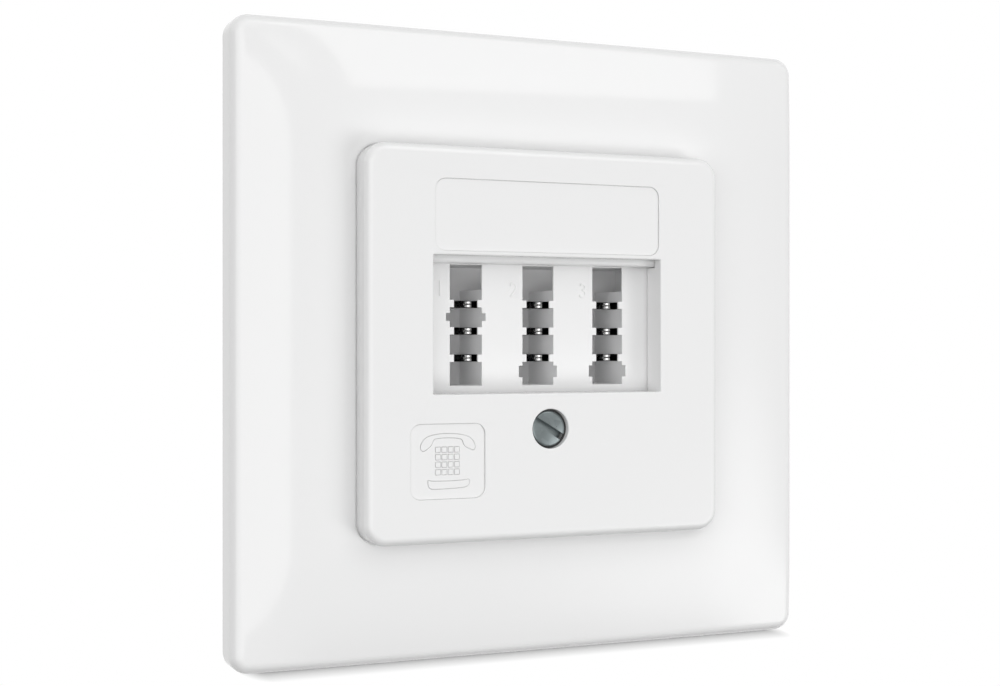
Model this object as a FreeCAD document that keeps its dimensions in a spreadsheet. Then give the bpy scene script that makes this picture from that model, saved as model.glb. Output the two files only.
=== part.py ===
import FreeCAD, Part
import Sketcher
import math
import operator
import os
from types import SimpleNamespace

# A flush-mounted telephone wall socket with three coded jacks behind one window.
# X is to the right, Z is up, and the front faces -Y.
# The wall plane is y = 0 and the origin is the middle of the square frame in that plane.
# A "height" is measured from the wall plane towards the viewer, so height = -y.

# Driving sizes in millimetres.
driving_sizes = {
    # cover frame
    "frame_corner_radius": 3.0,
    "frame_edge_height": 4.6,
    "frame_rise": 1.85,
    "frame_edge_round": 1.2,
    "frame_wall": 1.8,
    "frame_opening_clearance": 0.1,
    "frame_collar_wall": 1.4,
    "frame_ledge_width": 1.2,
    "frame_ledge_thickness": 1.3,
    "frame_rib_thickness": 1.2,
    "frame_rib_offset": 13.0,
    "frame_ring_gap": 0.3,
    # centre plate
    "plate_margin": 5.0,
    "plate_corner_radius": 2.8,
    "plate_front": 9.8,
    "plate_wall": 1.6,
    "plate_edge_round": 1.05,
    "window_margin": 5.95,
    "window_bottom": -6.3,
    "window_top": 11.2,
    "window_depth": 3.65,
    "window_edge_round": 0.2,
    "window_wall": 1.3,
    "window_wall_gap": 0.1,
    "label_inset": 0.25,
    "label_gap": 0.5,
    "label_height": 9.1,
    "label_corner_radius": 1.4,
    "icon_left_inset": 5.75,
    "icon_lower_inset": 5.6,
    "icon_width": 10.1,
    "icon_height": 9.45,
    "icon_corner_radius": 1.5,
    "field_depth": 0.2,
    # centre screw and its brass insert
    "screw_hole_diameter": 5.1,
    "screw_head_diameter": 4.8,
    "screw_head_height": 1.7,
    "screw_head_dome": 0.15,
    "screw_head_recess": 0.5,
    "screw_shank_diameter": 2.9,
    "screw_length": 10.0,
    "screw_slot_width": 0.9,
    "screw_slot_depth": 1.2,
    "screw_slot_angle": 31.0,
    "screw_clearance": 0.05,
    "shank_clearance": 0.25,
    "plate_boss_wall": 0.95,
    "plate_boss_gap": 0.3,
    "insert_diameter": 5.0,
    "insert_length": 6.0,
    "insert_clearance": 0.05,
    "housing_boss_wall": 0.8,
    "housing_boss_height": 1.4,
    "housing_boss_gap": 0.45,
    # jack cover, the white cap with the coded slots
    "face_gap": 0.25,
    "cap_thickness": 1.2,
    "cap_wall": 0.8,
    "cap_skirt": 1.1,
    "cap_side_overlap": 1.25,
    "cap_lower_overlap": 0.8,
    "cap_upper_overlap": 1.7,
    "rail_drop": 0.9,
    "rail_height": 1.9,
    "rail_inset": 0.5,
    "rail_gap": 0.2,
    "rail_round": 0.5,
    "slot_pitch": 10.2,
    "slot_width": 4.46,
    "slot_sill": 0.95,
    "slot_top_gap": 0.1,
    "neck_width": 3.3,
    "neck_height": 0.97,
    "neck_low": -1.82,
    "neck_middle": 1.70,
    "neck_high": 5.20,
    "ear_width": 5.5,
    "ear_left_height": 1.0,
    "ear_left_centre": 3.48,
    "ear_right_height": 1.5,
    "ear_right_centre": -3.57,
    "slot_lip": 0.3,
    # contact carrier, whose rims stand behind the lips of the slots
    "rim_wall": 0.6,
    "rim_gap": 0.05,
    "part_clearance": 0.1,
    "cavity_width": 5.7,
    "cavity_depth": 9.2,
    "carrier_floor": 1.3,
    "contact_chamber_width": 8.8,
    "upper_cavity_bottom": 7.1,
    # contact springs
    "spring_thickness": 0.3,
    "spring_width": 0.8,
    "spring_tail_offset": 2.3,
    "spring_bend_height": -2.3,
    "spring_bend_radius": 2.0,
    "spring_contact_depth": 3.9,
    "spring_contact_radius": 0.6,
    "spring_contact_gap": 2.5,
    "spring_tip_reach": 0.5,
    # base housing
    "housing_side": 1.6,
    "housing_corner_radius": 2.0,
    "hollow_corner_radius": 1.5,
    "housing_depth": 15.0,
    "housing_wall": 1.4,
    "housing_floor": 1.6,
    "lug_width": 4.2,
    "lug_height": 16.0,
    "lug_thickness": 2.0,
    # terminals
    "terminal_gap": 1.5,
    "terminal_insert_gap": 1.0,
    "terminal_outer_wall": 1.0,
    "chamber_width": 4.8,
    "chamber_height": 4.6,
    "chamber_depth": 7.0,
    "clamp_clearance": 0.1,
    "clamp_length": 4.6,
    "clamp_wall": 0.7,
    "clamp_front_wall": 1.6,
    "tail_width": 1.4,
    "tail_thickness": 0.6,
    "tail_clearance": 0.15,
    "terminal_screw_diameter": 2.2,
    "terminal_screw_length": 3.0,
    "terminal_head_diameter": 3.8,
    "terminal_head_height": 1.4,
    "terminal_head_lift": 0.3,
    "terminal_slot_width": 0.6,
    "terminal_slot_depth": 0.7,
    # circuit board and rear cover
    "board_thickness": 1.6,
    "board_clearance": 0.2,
    "cover_thickness": 1.2,
    "cover_rim_height": 2.0,
    "cover_rim_wall": 1.0,
    "cover_post_radius": 1.5,
    "cover_post_inset": 3.5,
    "catch_reach": 1.0,
    "catch_lift": 0.5,
    "catch_height": 1.2,
    "catch_width": 6.0,
    "catch_row": 10.0,
    # support ring and rivets
    "ring_margin": 5.5,
    "ring_edge_gap": 3.2,
    "ring_corner_radius": 9.0,
    "ring_thickness": 1.2,
    "ring_opening_clearance": 0.3,
    "box_screw_spacing": 60.0,
    "box_screw_hole_diameter": 3.8,
    "ring_slot_length": 10.0,
    "ring_corner_hole_diameter": 3.2,
    "ring_corner_hole_inset": 7.5,
    "rivet_diameter": 1.8,
    "rivet_head_diameter": 3.0,
    "rivet_head_height": 0.8,
    "rivet_clearance": 0.05,
    "rivet_offset": 2.2,
    "rivet_spacing": 10.0,
}


class Size:
    # A length kept both as an expression on the sheet and as a number.

    def __init__(self, text, value):
        self.text = text
        self.value = value

    def __add__(self, other):
        return combine(self, "+", other)

    def __radd__(self, other):
        return combine(other, "+", self)

    def __sub__(self, other):
        return combine(self, "-", other)

    def __rsub__(self, other):
        return combine(other, "-", self)

    def __mul__(self, other):
        return combine(self, "*", other)

    def __truediv__(self, other):
        return combine(self, "/", other)

    def __neg__(self):
        return combine(0, "-", self)


def number(item):
    return item.value if isinstance(item, Size) else float(item)


def expression(item):
    return item.text if isinstance(item, Size) else str(item)


def combine(first, sign, second):
    actions = {"+": operator.add, "-": operator.sub, "*": operator.mul, "/": operator.truediv}
    value = actions[sign](number(first), number(second))
    return Size(f"({expression(first)} {sign} {expression(second)})", value)


def make_sheet():
    sheet = doc.addObject("Spreadsheet::Sheet", "sizes")
    for row, (alias, value) in enumerate(driving_sizes.items(), start=1):
        sheet.set(f"A{row}", alias)
        sheet.set(f"B{row}", str(value))
        sheet.setAlias(f"B{row}", alias)
    doc.recompute()
    return sheet


def read_sizes():
    return SimpleNamespace(**{alias: Size(f"sizes.{alias}", float(sheet.get(alias)))
                              for alias in driving_sizes})


def bind(thing, name, item):
    thing.setExpression(name, expression(item))


# Sketches and features

def new_body(label):
    body = doc.addObject("PartDesign::Body", label)
    body.Label = label
    return body


def new_sketch(body, name, offset, plane="XZ_Plane"):
    # On XZ_Plane the offset is a height; on XY_Plane it is a Z and the sketch's second axis is Y.
    sketch = body.newObject("Sketcher::SketchObject", name)
    origin_plane = [item for item in body.Origin.OriginFeatures if item.Role == plane][0]
    sketch.AttachmentSupport = [(origin_plane, "")]
    sketch.MapMode = "FlatFace"
    bind(sketch, "AttachmentOffset.Base.z", offset)
    return sketch


def constrain(sketch, kind, *items):
    # The last item is a size, and the constraint is bound to it.
    size = items[-1]
    index = sketch.addConstraint(Sketcher.Constraint(kind, *items[:-1], number(size)))
    bind(sketch, f"Constraints[{index}]", size)


def draw_box(sketch, left, right, bottom, top, radius=None):
    # A rectangle, with rounded corners where a radius is given.
    x0, x1 = number(left), number(right)
    y0, y1 = number(bottom), number(top)
    r = number(radius) if radius is not None else 0.0
    ends = [((x0 + r, y0), (x1 - r, y0)), ((x1, y0 + r), (x1, y1 - r)),
            ((x1 - r, y1), (x0 + r, y1)), ((x0, y1 - r), (x0, y0 + r))]
    lines = [sketch.addGeometry(Part.LineSegment(FreeCAD.Vector(*start, 0), FreeCAD.Vector(*end, 0)))
             for start, end in ends]
    if radius is None:
        for i in range(4):
            sketch.addConstraint(Sketcher.Constraint("Coincident", lines[i], 2, lines[(i + 1) % 4], 1))
    else:
        centres = [(x1 - r, y0 + r), (x1 - r, y1 - r), (x0 + r, y1 - r), (x0 + r, y0 + r)]
        arcs = []
        for i, centre in enumerate(centres):
            circle = Part.Circle(FreeCAD.Vector(*centre, 0), FreeCAD.Vector(0, 0, 1), r)
            start = (i - 1) * math.pi / 2
            arcs.append(sketch.addGeometry(Part.ArcOfCircle(circle, start, start + math.pi / 2)))
        for i in range(4):
            sketch.addConstraint(Sketcher.Constraint("Tangent", lines[i], 2, arcs[i], 1))
            sketch.addConstraint(Sketcher.Constraint("Tangent", arcs[i], 2, lines[(i + 1) % 4], 1))
        for arc in arcs[1:]:
            sketch.addConstraint(Sketcher.Constraint("Equal", arcs[0], arc))
        constrain(sketch, "Radius", arcs[0], radius)
    for i in (0, 2):
        sketch.addConstraint(Sketcher.Constraint("Horizontal", lines[i]))
        sketch.addConstraint(Sketcher.Constraint("Vertical", lines[i + 1]))
    constrain(sketch, "DistanceY", -1, 1, lines[0], 1, bottom)
    constrain(sketch, "DistanceX", -1, 1, lines[1], 1, right)
    constrain(sketch, "DistanceY", -1, 1, lines[2], 1, top)
    constrain(sketch, "DistanceX", -1, 1, lines[3], 1, left)


def draw_circle(sketch, x, y, radius):
    centre = FreeCAD.Vector(number(x), number(y), 0)
    circle = sketch.addGeometry(Part.Circle(centre, FreeCAD.Vector(0, 0, 1), number(radius)))
    constrain(sketch, "Radius", circle, radius)
    constrain(sketch, "DistanceX", -1, 1, circle, 3, x)
    constrain(sketch, "DistanceY", -1, 1, circle, 3, y)


def pad(body, sketch, name, length):
    feature = body.newObject("PartDesign::Pad", name)
    feature.Profile = sketch
    bind(feature, "Length", length)
    sketch.Visibility = False
    return feature


def pocket(body, sketch, name, length):
    before = body.Tip
    feature = body.newObject("PartDesign::Pocket", name)
    feature.Profile = sketch
    bind(feature, "Length", length)
    sketch.Visibility = False
    cuts.append((before, feature))
    return feature


def pad_box(body, name, height, length, left, right, bottom, top, radius=None):
    sketch = new_sketch(body, name + "_sketch", height)
    draw_box(sketch, left, right, bottom, top, radius)
    return pad(body, sketch, name, length)


def pocket_box(body, name, height, length, left, right, bottom, top, radius=None):
    sketch = new_sketch(body, name + "_sketch", height)
    draw_box(sketch, left, right, bottom, top, radius)
    return pocket(body, sketch, name, length)


def fillet(body, name, radius, wanted):
    # Rounds the edges of the body's last feature that the test picks.
    doc.recompute()
    base = body.Tip
    names = [f"Edge{i}" for i, edge in enumerate(base.Shape.Edges, start=1) if wanted(edge)]
    feature = body.newObject("PartDesign::Fillet", name)
    feature.Base = (base, names)
    bind(feature, "Radius", radius)
    return feature


def edge_lies_at_height(edge, height):
    box = edge.BoundBox
    return abs(box.YMin + height) < touch and abs(box.YMax + height) < touch


def edge_within(edge, half_width, bottom, top):
    box = edge.BoundBox
    sides = box.XMin > -half_width - touch and box.XMax < half_width + touch
    return sides and box.ZMin > bottom - touch and box.ZMax < top + touch


# Cover frame

def crown(distance, flat, edge):
    # One where the frame is flat, falling as a parabola to zero at its edge.
    share = max(0.0, (abs(distance) - flat) / (edge - flat))
    return 1.0 - share * share


def frame_surface(drop):
    # The softly domed front of the frame, moved towards the wall by the given drop.
    half = number(frame_half)
    flat = number(frame_opening_half)
    low = number(s.frame_edge_height) - drop
    rise = number(s.frame_rise)
    reach = half + number(s.frame_edge_round)
    grid = [reach * (2.0 * i / surface_steps - 1.0) for i in range(surface_steps + 1)]
    points = [[FreeCAD.Vector(x, -low - rise * crown(x, flat, half) * crown(z, flat, half), z)
               for z in grid] for x in grid]
    surface = Part.BSplineSurface()
    surface.interpolate(points)
    return surface.toShape()


def square_prism(half, radius, low, high):
    # A square column with rounded corners between two heights.
    box = Part.makeBox(2 * half, high - low, 2 * half, FreeCAD.Vector(-half, -high, -half))
    if radius <= 0:
        return box
    upright = [edge for edge in box.Edges if edge.BoundBox.YLength > (high - low) / 2]
    return box.makeFillet(radius, upright)


def make_cover_frame():
    half = number(frame_half)
    wall = number(s.frame_wall)
    radius = number(s.frame_corner_radius)
    depth = number(s.frame_edge_height + s.frame_rise) * 2
    back = FreeCAD.Vector(0, depth, 0)
    outer = frame_surface(0).extrude(back).common(square_prism(half, radius, 0, depth))
    rim = [edge for edge in outer.Edges
           if edge.BoundBox.YMax < -touch and edge.BoundBox.YLength < number(s.frame_rise)]
    outer = outer.makeFillet(number(s.frame_edge_round), rim)
    inner = frame_surface(wall).extrude(back)
    inner = inner.common(square_prism(half - wall, radius - wall, 0, depth))
    opening_half = number(frame_opening_half)
    opening_radius = number(frame_opening_radius)
    collar_half = opening_half + number(s.frame_collar_wall)
    collar_radius = opening_radius + number(s.frame_collar_wall)
    rear = number(ledge_rear)
    hollow = inner.cut(square_prism(collar_half, collar_radius, rear, depth))
    thickness = number(s.frame_rib_thickness)
    offset = number(s.frame_rib_offset)
    for place in (-offset, offset):
        low = place - thickness / 2
        upright = Part.makeBox(thickness, depth - rear, 2 * half, FreeCAD.Vector(low, -depth, -half))
        level = Part.makeBox(2 * half, depth - rear, thickness, FreeCAD.Vector(-half, -depth, low))
        hollow = hollow.cut(upright).cut(level)
    shape = outer.cut(hollow)
    shape = shape.cut(square_prism(opening_half, opening_radius, number(ledge_front), depth))
    ledge_half = opening_half - number(s.frame_ledge_width)
    ledge_radius = opening_radius - number(s.frame_ledge_width)
    shape = shape.cut(square_prism(ledge_half, ledge_radius, 0, depth))
    if len(shape.Solids) != 1:
        raise RuntimeError("the cover frame is not one solid")
    frame = doc.addObject("Part::Feature", "cover_frame")
    frame.Shape = shape.Solids[0]
    frame.Label = "cover_frame"
    return frame


# Centre plate

def make_centre_plate():
    body = new_body("centre_plate")
    half = plate_half
    side = window_half
    pad_box(body, "plate_block", ledge_front, s.plate_front - ledge_front,
            -half, half, -half, half, s.plate_corner_radius)
    fillet(body, "plate_round", s.plate_edge_round,
           lambda edge: edge_lies_at_height(edge, number(s.plate_front)))
    inner = half - s.plate_wall
    pocket_box(body, "plate_hollow", plate_rear, plate_rear - ledge_front,
               -inner, inner, -inner, inner, s.plate_corner_radius - s.plate_wall)
    walls = new_sketch(body, "window_side_walls_sketch", collar_rear)
    for left, right in ((-side - s.window_wall, -side), (side, side + s.window_wall)):
        draw_box(walls, left, right, s.window_bottom - s.window_wall, rail_bottom - s.window_wall_gap)
    pad(body, walls, "window_side_walls", plate_rear - collar_rear)
    pad_box(body, "window_lower_wall", collar_rear, plate_rear - collar_rear,
            -side, side, s.window_bottom - s.window_wall, s.window_bottom)
    boss = new_sketch(body, "screw_boss_sketch", housing_boss_top + s.plate_boss_gap)
    draw_circle(boss, 0, -screw_drop, s.screw_hole_diameter / 2 + s.plate_boss_wall)
    pad(body, boss, "screw_boss", plate_rear - housing_boss_top - s.plate_boss_gap)
    pocket_box(body, "window", s.plate_front, s.plate_wall,
               -side, side, s.window_bottom, s.window_top)
    fillet(body, "window_round", s.window_edge_round,
           lambda edge: edge_lies_at_height(edge, number(s.plate_front))
           and edge_within(edge, number(side), number(s.window_bottom), number(s.window_top)))
    label_half = window_half - s.label_inset
    label_bottom = s.window_top + s.label_gap
    pocket_box(body, "label_field", s.plate_front, s.field_depth, -label_half, label_half,
               label_bottom, label_bottom + s.label_height, s.label_corner_radius)
    icon_left = s.icon_left_inset - plate_half
    icon_bottom = s.icon_lower_inset - plate_half
    pocket_box(body, "icon_field", s.plate_front, s.field_depth, icon_left, icon_left + s.icon_width,
               icon_bottom, icon_bottom + s.icon_height, s.icon_corner_radius)
    hole = new_sketch(body, "screw_head_hole_sketch", s.plate_front)
    draw_circle(hole, 0, -screw_drop, s.screw_hole_diameter / 2)
    pocket(body, hole, "screw_head_hole", s.plate_front - screw_seat)
    shank = new_sketch(body, "screw_shank_hole_sketch", screw_seat)
    draw_circle(shank, 0, -screw_drop, s.screw_shank_diameter / 2 + s.shank_clearance)
    pocket(body, shank, "screw_shank_hole", screw_seat - housing_boss_top)
    return body


# Screws, insert and rivets

def make_centre_screw():
    # A slotted cheese head with a low dome, turned about the axis through its own middle.
    body = new_body("centre_screw")
    sketch = new_sketch(body, "screw_profile", 0, "XY_Plane")
    head = number(s.screw_head_diameter / 2)
    shank = number(s.screw_shank_diameter / 2)
    seat = -number(screw_seat)
    shoulder = seat - number(s.screw_head_height - s.screw_head_dome)
    top = seat - number(s.screw_head_height)
    tip = seat + number(s.screw_length)
    radius = (head ** 2 + (shoulder - top) ** 2) / (2 * (shoulder - top))
    reach = math.asin(head / radius)
    corners = [(head, shoulder), (head, seat), (shank, seat), (shank, tip), (0, tip), (0, top)]
    lines = [sketch.addGeometry(Part.LineSegment(FreeCAD.Vector(*start, 0), FreeCAD.Vector(*end, 0)))
             for start, end in zip(corners, corners[1:])]
    circle = Part.Circle(FreeCAD.Vector(0, top + radius, 0), FreeCAD.Vector(0, 0, 1), radius)
    dome = sketch.addGeometry(Part.ArcOfCircle(circle, -math.pi / 2, -math.pi / 2 + reach))
    for first, second in zip(lines, lines[1:]):
        sketch.addConstraint(Sketcher.Constraint("Coincident", first, 2, second, 1))
    sketch.addConstraint(Sketcher.Constraint("Coincident", lines[-1], 2, dome, 1))
    sketch.addConstraint(Sketcher.Constraint("Coincident", dome, 2, lines[0], 1))
    for line in (lines[0], lines[2], lines[4]):
        sketch.addConstraint(Sketcher.Constraint("Vertical", line))
    for line in (lines[1], lines[3]):
        sketch.addConstraint(Sketcher.Constraint("Horizontal", line))
    sketch.addConstraint(Sketcher.Constraint("PointOnObject", lines[4], 2, -2))
    sketch.addConstraint(Sketcher.Constraint("PointOnObject", dome, 3, -2))
    constrain(sketch, "DistanceX", -1, 1, lines[0], 1, s.screw_head_diameter / 2)
    constrain(sketch, "DistanceX", -1, 1, lines[2], 1, s.screw_shank_diameter / 2)
    constrain(sketch, "DistanceY", -1, 1, lines[0], 1, s.screw_head_dome - screw_top)
    constrain(sketch, "DistanceY", -1, 1, lines[1], 1, -screw_seat)
    constrain(sketch, "DistanceY", -1, 1, lines[3], 1, s.screw_length - screw_seat)
    constrain(sketch, "DistanceY", -1, 1, dome, 1, -screw_top)
    turned = body.newObject("PartDesign::Revolution", "turned_screw")
    turned.Profile = sketch
    turned.ReferenceAxis = (sketch, ["V_Axis"])
    turned.Angle = 360
    slot = new_sketch(body, "driver_slot_sketch", screw_top)
    draw_box(slot, -s.screw_head_diameter, s.screw_head_diameter,
             -s.screw_slot_width / 2, s.screw_slot_width / 2)
    bind(slot, "AttachmentOffset.Rotation.Yaw", -s.screw_slot_angle)
    pocket(body, slot, "driver_slot", s.screw_slot_depth)
    bind(body, "Placement.Base.z", -screw_drop)
    return body


def make_centre_insert():
    body = new_body("centre_insert")
    sketch = new_sketch(body, "insert_sketch", housing_boss_top - s.insert_length)
    draw_circle(sketch, 0, -screw_drop, s.insert_diameter / 2)
    draw_circle(sketch, 0, -screw_drop, s.screw_shank_diameter / 2 + s.screw_clearance)
    pad(body, sketch, "insert_tube", s.insert_length)
    return body


def upright_cylinder(name, x, z, low, high, radius):
    # A cylinder along the depth direction between two heights.
    item = doc.addObject("Part::Cylinder", name)
    item.Placement = FreeCAD.Placement(FreeCAD.Vector(), FreeCAD.Rotation(FreeCAD.Vector(1, 0, 0), 90))
    bind(item, "Radius", radius)
    bind(item, "Height", high - low)
    bind(item, "Placement.Base.x", x)
    bind(item, "Placement.Base.y", -low)
    bind(item, "Placement.Base.z", z)
    return item


def fuse(name, shapes):
    item = doc.addObject("Part::MultiFuse", name)
    item.Shapes = shapes
    return item


def compound(label, pieces):
    item = doc.addObject("Part::Compound", label)
    item.Links = pieces
    item.Label = label
    return item


def make_terminal_screws():
    pieces = []
    for row, x, z in terminal_places:
        name = f"terminal_screw_{row}"
        top = terminal_head_base + s.terminal_head_height
        head = upright_cylinder(name + "_head", x, z, terminal_head_base, top, s.terminal_head_diameter / 2)
        shank = upright_cylinder(name + "_shank", x, z, terminal_head_base - s.terminal_screw_length,
                                 terminal_head_base, s.terminal_screw_diameter / 2)
        slot = doc.addObject("Part::Box", name + "_slot")
        bind(slot, "Length", s.terminal_head_diameter)
        bind(slot, "Width", s.terminal_slot_depth)
        bind(slot, "Height", s.terminal_slot_width)
        bind(slot, "Placement.Base.x", x - s.terminal_head_diameter / 2)
        bind(slot, "Placement.Base.y", -top)
        bind(slot, "Placement.Base.z", z - s.terminal_slot_width / 2)
        piece = doc.addObject("Part::Cut", name)
        piece.Base = fuse(name + "_turned", [head, shank])
        piece.Tool = slot
        pieces.append(piece)
    return compound("terminal_screws", pieces)


def make_ring_rivets():
    pieces = []
    for i, (x, z) in enumerate(rivet_places):
        name = f"ring_rivet_{i}"
        front = s.ring_thickness
        rear = -s.lug_thickness
        radius = s.rivet_head_diameter / 2
        pieces.append(fuse(name, [
            upright_cylinder(name + "_shank", x, z, rear, front, s.rivet_diameter / 2),
            upright_cylinder(name + "_head", x, z, front, front + s.rivet_head_height, radius),
            upright_cylinder(name + "_upset", x, z, rear - s.rivet_head_height, rear, radius)]))
    return compound("ring_rivets", pieces)


# Jack cover and contact carrier

def slot_segments():
    # The stretches of each slot between its necks, from the bottom up.
    half = s.neck_height / 2
    return [(slot_bottom, s.neck_low - half), (s.neck_low + half, s.neck_middle - half),
            (s.neck_middle + half, s.neck_high - half), (s.neck_high + half, slot_top)]


def make_jack_cover():
    body = new_body("jack_cover")
    side = cap_half
    pad_box(body, "cap_block", housing_front, jack_face - housing_front,
            -side, side, cap_bottom, cap_top)
    pad_box(body, "top_rail", jack_face, plate_rear - s.rail_gap - jack_face,
            s.rail_inset - cap_half, cap_half - s.rail_inset, rail_bottom, rail_bottom + s.rail_height)
    fillet(body, "rail_round", s.rail_round,
           lambda edge: edge_lies_at_height(edge, number(plate_rear - s.rail_gap))
           and edge.BoundBox.ZMax < number(rail_bottom) + touch)
    inner = side - s.cap_wall
    pocket_box(body, "cap_hollow", cap_rear, cap_rear - housing_front,
               -inner, inner, cap_bottom + s.cap_wall, cap_top - s.cap_wall)
    # Each slot has full-width stretches, narrow necks and a coding ear on either side.
    segments = new_sketch(body, "slot_segments_sketch", jack_face)
    necks = new_sketch(body, "slot_necks_sketch", jack_face)
    ears = new_sketch(body, "slot_ears_sketch", jack_face)
    reliefs = new_sketch(body, "slot_reliefs_sketch", jack_face - s.slot_lip)
    for i, x in enumerate(jack_centres):
        half = s.slot_width / 2
        for bottom, top in slot_segments():
            draw_box(segments, x - half, x + half, bottom, top)
        half = s.neck_width / 2
        tall = s.neck_height / 2
        for z in neck_centres:
            draw_box(necks, x - half, x + half, z - tall, z + tall)
        half = s.ear_width / 2
        z = s.ear_left_centre if i == 0 else s.ear_right_centre
        tall = (s.ear_left_height if i == 0 else s.ear_right_height) / 2
        draw_box(ears, x - half, x + half, z - tall, z + tall)
        reach = s.rim_wall + s.part_clearance
        half = s.cavity_width / 2 + reach
        draw_box(reliefs, x - half, x + half, slot_bottom - reach, slot_top + reach)
    pocket(body, segments, "slot_segments", s.cap_thickness)
    pocket(body, necks, "slot_necks", s.cap_thickness)
    pocket(body, ears, "slot_ears", s.cap_thickness)
    pocket(body, reliefs, "slot_reliefs", s.cap_thickness - s.slot_lip)
    return body


def make_contact_carrier():
    # A rim round each cavity fills the relief in the cap, and wide chambers hold the springs.
    body = new_body("contact_carrier")
    pad_box(body, "carrier_block", carrier_rear, cap_rear - carrier_rear,
            -carrier_half, carrier_half, carrier_bottom, carrier_top)
    rim_front = jack_face - s.slot_lip - s.rim_gap
    rims = new_sketch(body, "rims_sketch", cap_rear)
    cavities = new_sketch(body, "cavities_sketch", rim_front)
    upper = new_sketch(body, "upper_cavities_sketch", cap_rear)
    chambers = new_sketch(body, "contact_chambers_sketch", rim_front)
    passages = new_sketch(body, "spring_passages_sketch", cavity_floor)
    tall = s.neck_height / 2
    for x in jack_centres:
        half = s.cavity_width / 2 + s.rim_wall
        draw_box(rims, x - half, x + half, slot_bottom - s.rim_wall, slot_top + s.rim_wall)
        half = s.cavity_width / 2
        draw_box(cavities, x - half, x + half, slot_bottom, slot_top)
        half = s.contact_chamber_width / 2
        draw_box(upper, x - half, x + half, s.upper_cavity_bottom, slot_top)
        for z in neck_centres:
            draw_box(chambers, x - half, x + half, z - tall, z + tall)
            draw_box(passages, x - passage_half, x + passage_half, z - tall, z + tall)
    pad(body, rims, "rims", rim_front - cap_rear)
    pocket(body, cavities, "cavities", rim_front - cavity_floor)
    pocket(body, upper, "upper_cavities", cap_rear - cavity_floor)
    pocket(body, chambers, "contact_chambers", rim_front - cavity_floor)
    pocket(body, passages, "spring_passages", s.carrier_floor)
    return body


# Contact springs

def make_spring(label, x, z, turned):
    # A strip that stands on the board, leans towards the slot's middle and curls away at its tip.
    body = new_body(label)
    tail = number(s.spring_tail_offset)
    low = number(board_front)
    bend = number(s.spring_bend_height)
    r1 = number(s.spring_bend_radius)
    r2 = number(s.spring_contact_radius)
    touch_x = (s.spring_contact_gap + s.spring_thickness) / 2 + s.spring_contact_radius
    touch_height = jack_face - s.spring_contact_depth
    tip_height = touch_height + s.spring_tip_reach
    centre = (number(touch_x), number(touch_height))
    across = centre[0] - (tail - r1)
    along = centre[1] - bend
    lean = math.atan2(along, across) - math.acos((r1 + r2) / math.hypot(across, along))
    first = (tail - r1 + r1 * math.cos(lean), bend + r1 * math.sin(lean))
    second = (centre[0] - r2 * math.cos(lean), centre[1] - r2 * math.sin(lean))
    tip_angle = math.pi - math.asin(number(s.spring_tip_reach) / r2)
    path = new_sketch(body, label + "_path", 0, "XY_Plane")
    post = path.addGeometry(Part.LineSegment(FreeCAD.Vector(tail, -low, 0), FreeCAD.Vector(tail, -bend, 0)))
    circle = Part.Circle(FreeCAD.Vector(tail - r1, -bend, 0), FreeCAD.Vector(0, 0, 1), r1)
    knee = path.addGeometry(Part.ArcOfCircle(circle, -lean, 0))
    arm = path.addGeometry(Part.LineSegment(FreeCAD.Vector(first[0], -first[1], 0),
                                            FreeCAD.Vector(second[0], -second[1], 0)))
    circle = Part.Circle(FreeCAD.Vector(centre[0], -centre[1], 0), FreeCAD.Vector(0, 0, 1), r2)
    curl = path.addGeometry(Part.ArcOfCircle(circle, math.pi - lean, 2 * math.pi - tip_angle))
    path.addConstraint(Sketcher.Constraint("Tangent", post, 2, knee, 2))
    path.addConstraint(Sketcher.Constraint("Tangent", knee, 1, arm, 1))
    path.addConstraint(Sketcher.Constraint("Tangent", arm, 2, curl, 1))
    path.addConstraint(Sketcher.Constraint("Vertical", post))
    constrain(path, "DistanceX", -1, 1, post, 1, s.spring_tail_offset)
    constrain(path, "DistanceY", -1, 1, post, 1, -board_front)
    constrain(path, "DistanceY", -1, 1, post, 2, -s.spring_bend_height)
    constrain(path, "Radius", knee, s.spring_bend_radius)
    constrain(path, "Radius", curl, s.spring_contact_radius)
    constrain(path, "DistanceX", -1, 1, curl, 3, touch_x)
    constrain(path, "DistanceY", -1, 1, curl, 3, -touch_height)
    constrain(path, "DistanceY", -1, 1, curl, 2, -tip_height)
    section = new_sketch(body, label + "_section", board_front)
    draw_box(section, s.spring_tail_offset - s.spring_thickness / 2,
             s.spring_tail_offset + s.spring_thickness / 2, -s.spring_width / 2, s.spring_width / 2)
    doc.recompute()
    strip = body.newObject("PartDesign::AdditivePipe", label + "_strip")
    strip.Profile = section
    strip.Spine = (path, ["Edge1", "Edge2", "Edge3", "Edge4"])
    if turned:
        body.Placement = FreeCAD.Placement(FreeCAD.Vector(), FreeCAD.Rotation(FreeCAD.Vector(0, 1, 0), 180))
    bind(body, "Placement.Base.x", x)
    bind(body, "Placement.Base.z", z)
    return body


def make_springs():
    springs = []
    for jack, x in zip(("left", "middle", "right"), jack_centres):
        for level, z in zip(("low", "middle", "high"), neck_centres):
            for side in ("a", "b"):
                label = f"contact_spring_{jack}_{level}_{side}"
                springs.append(make_spring(label, x, z, side == "a"))
    return springs


# Terminals

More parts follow.
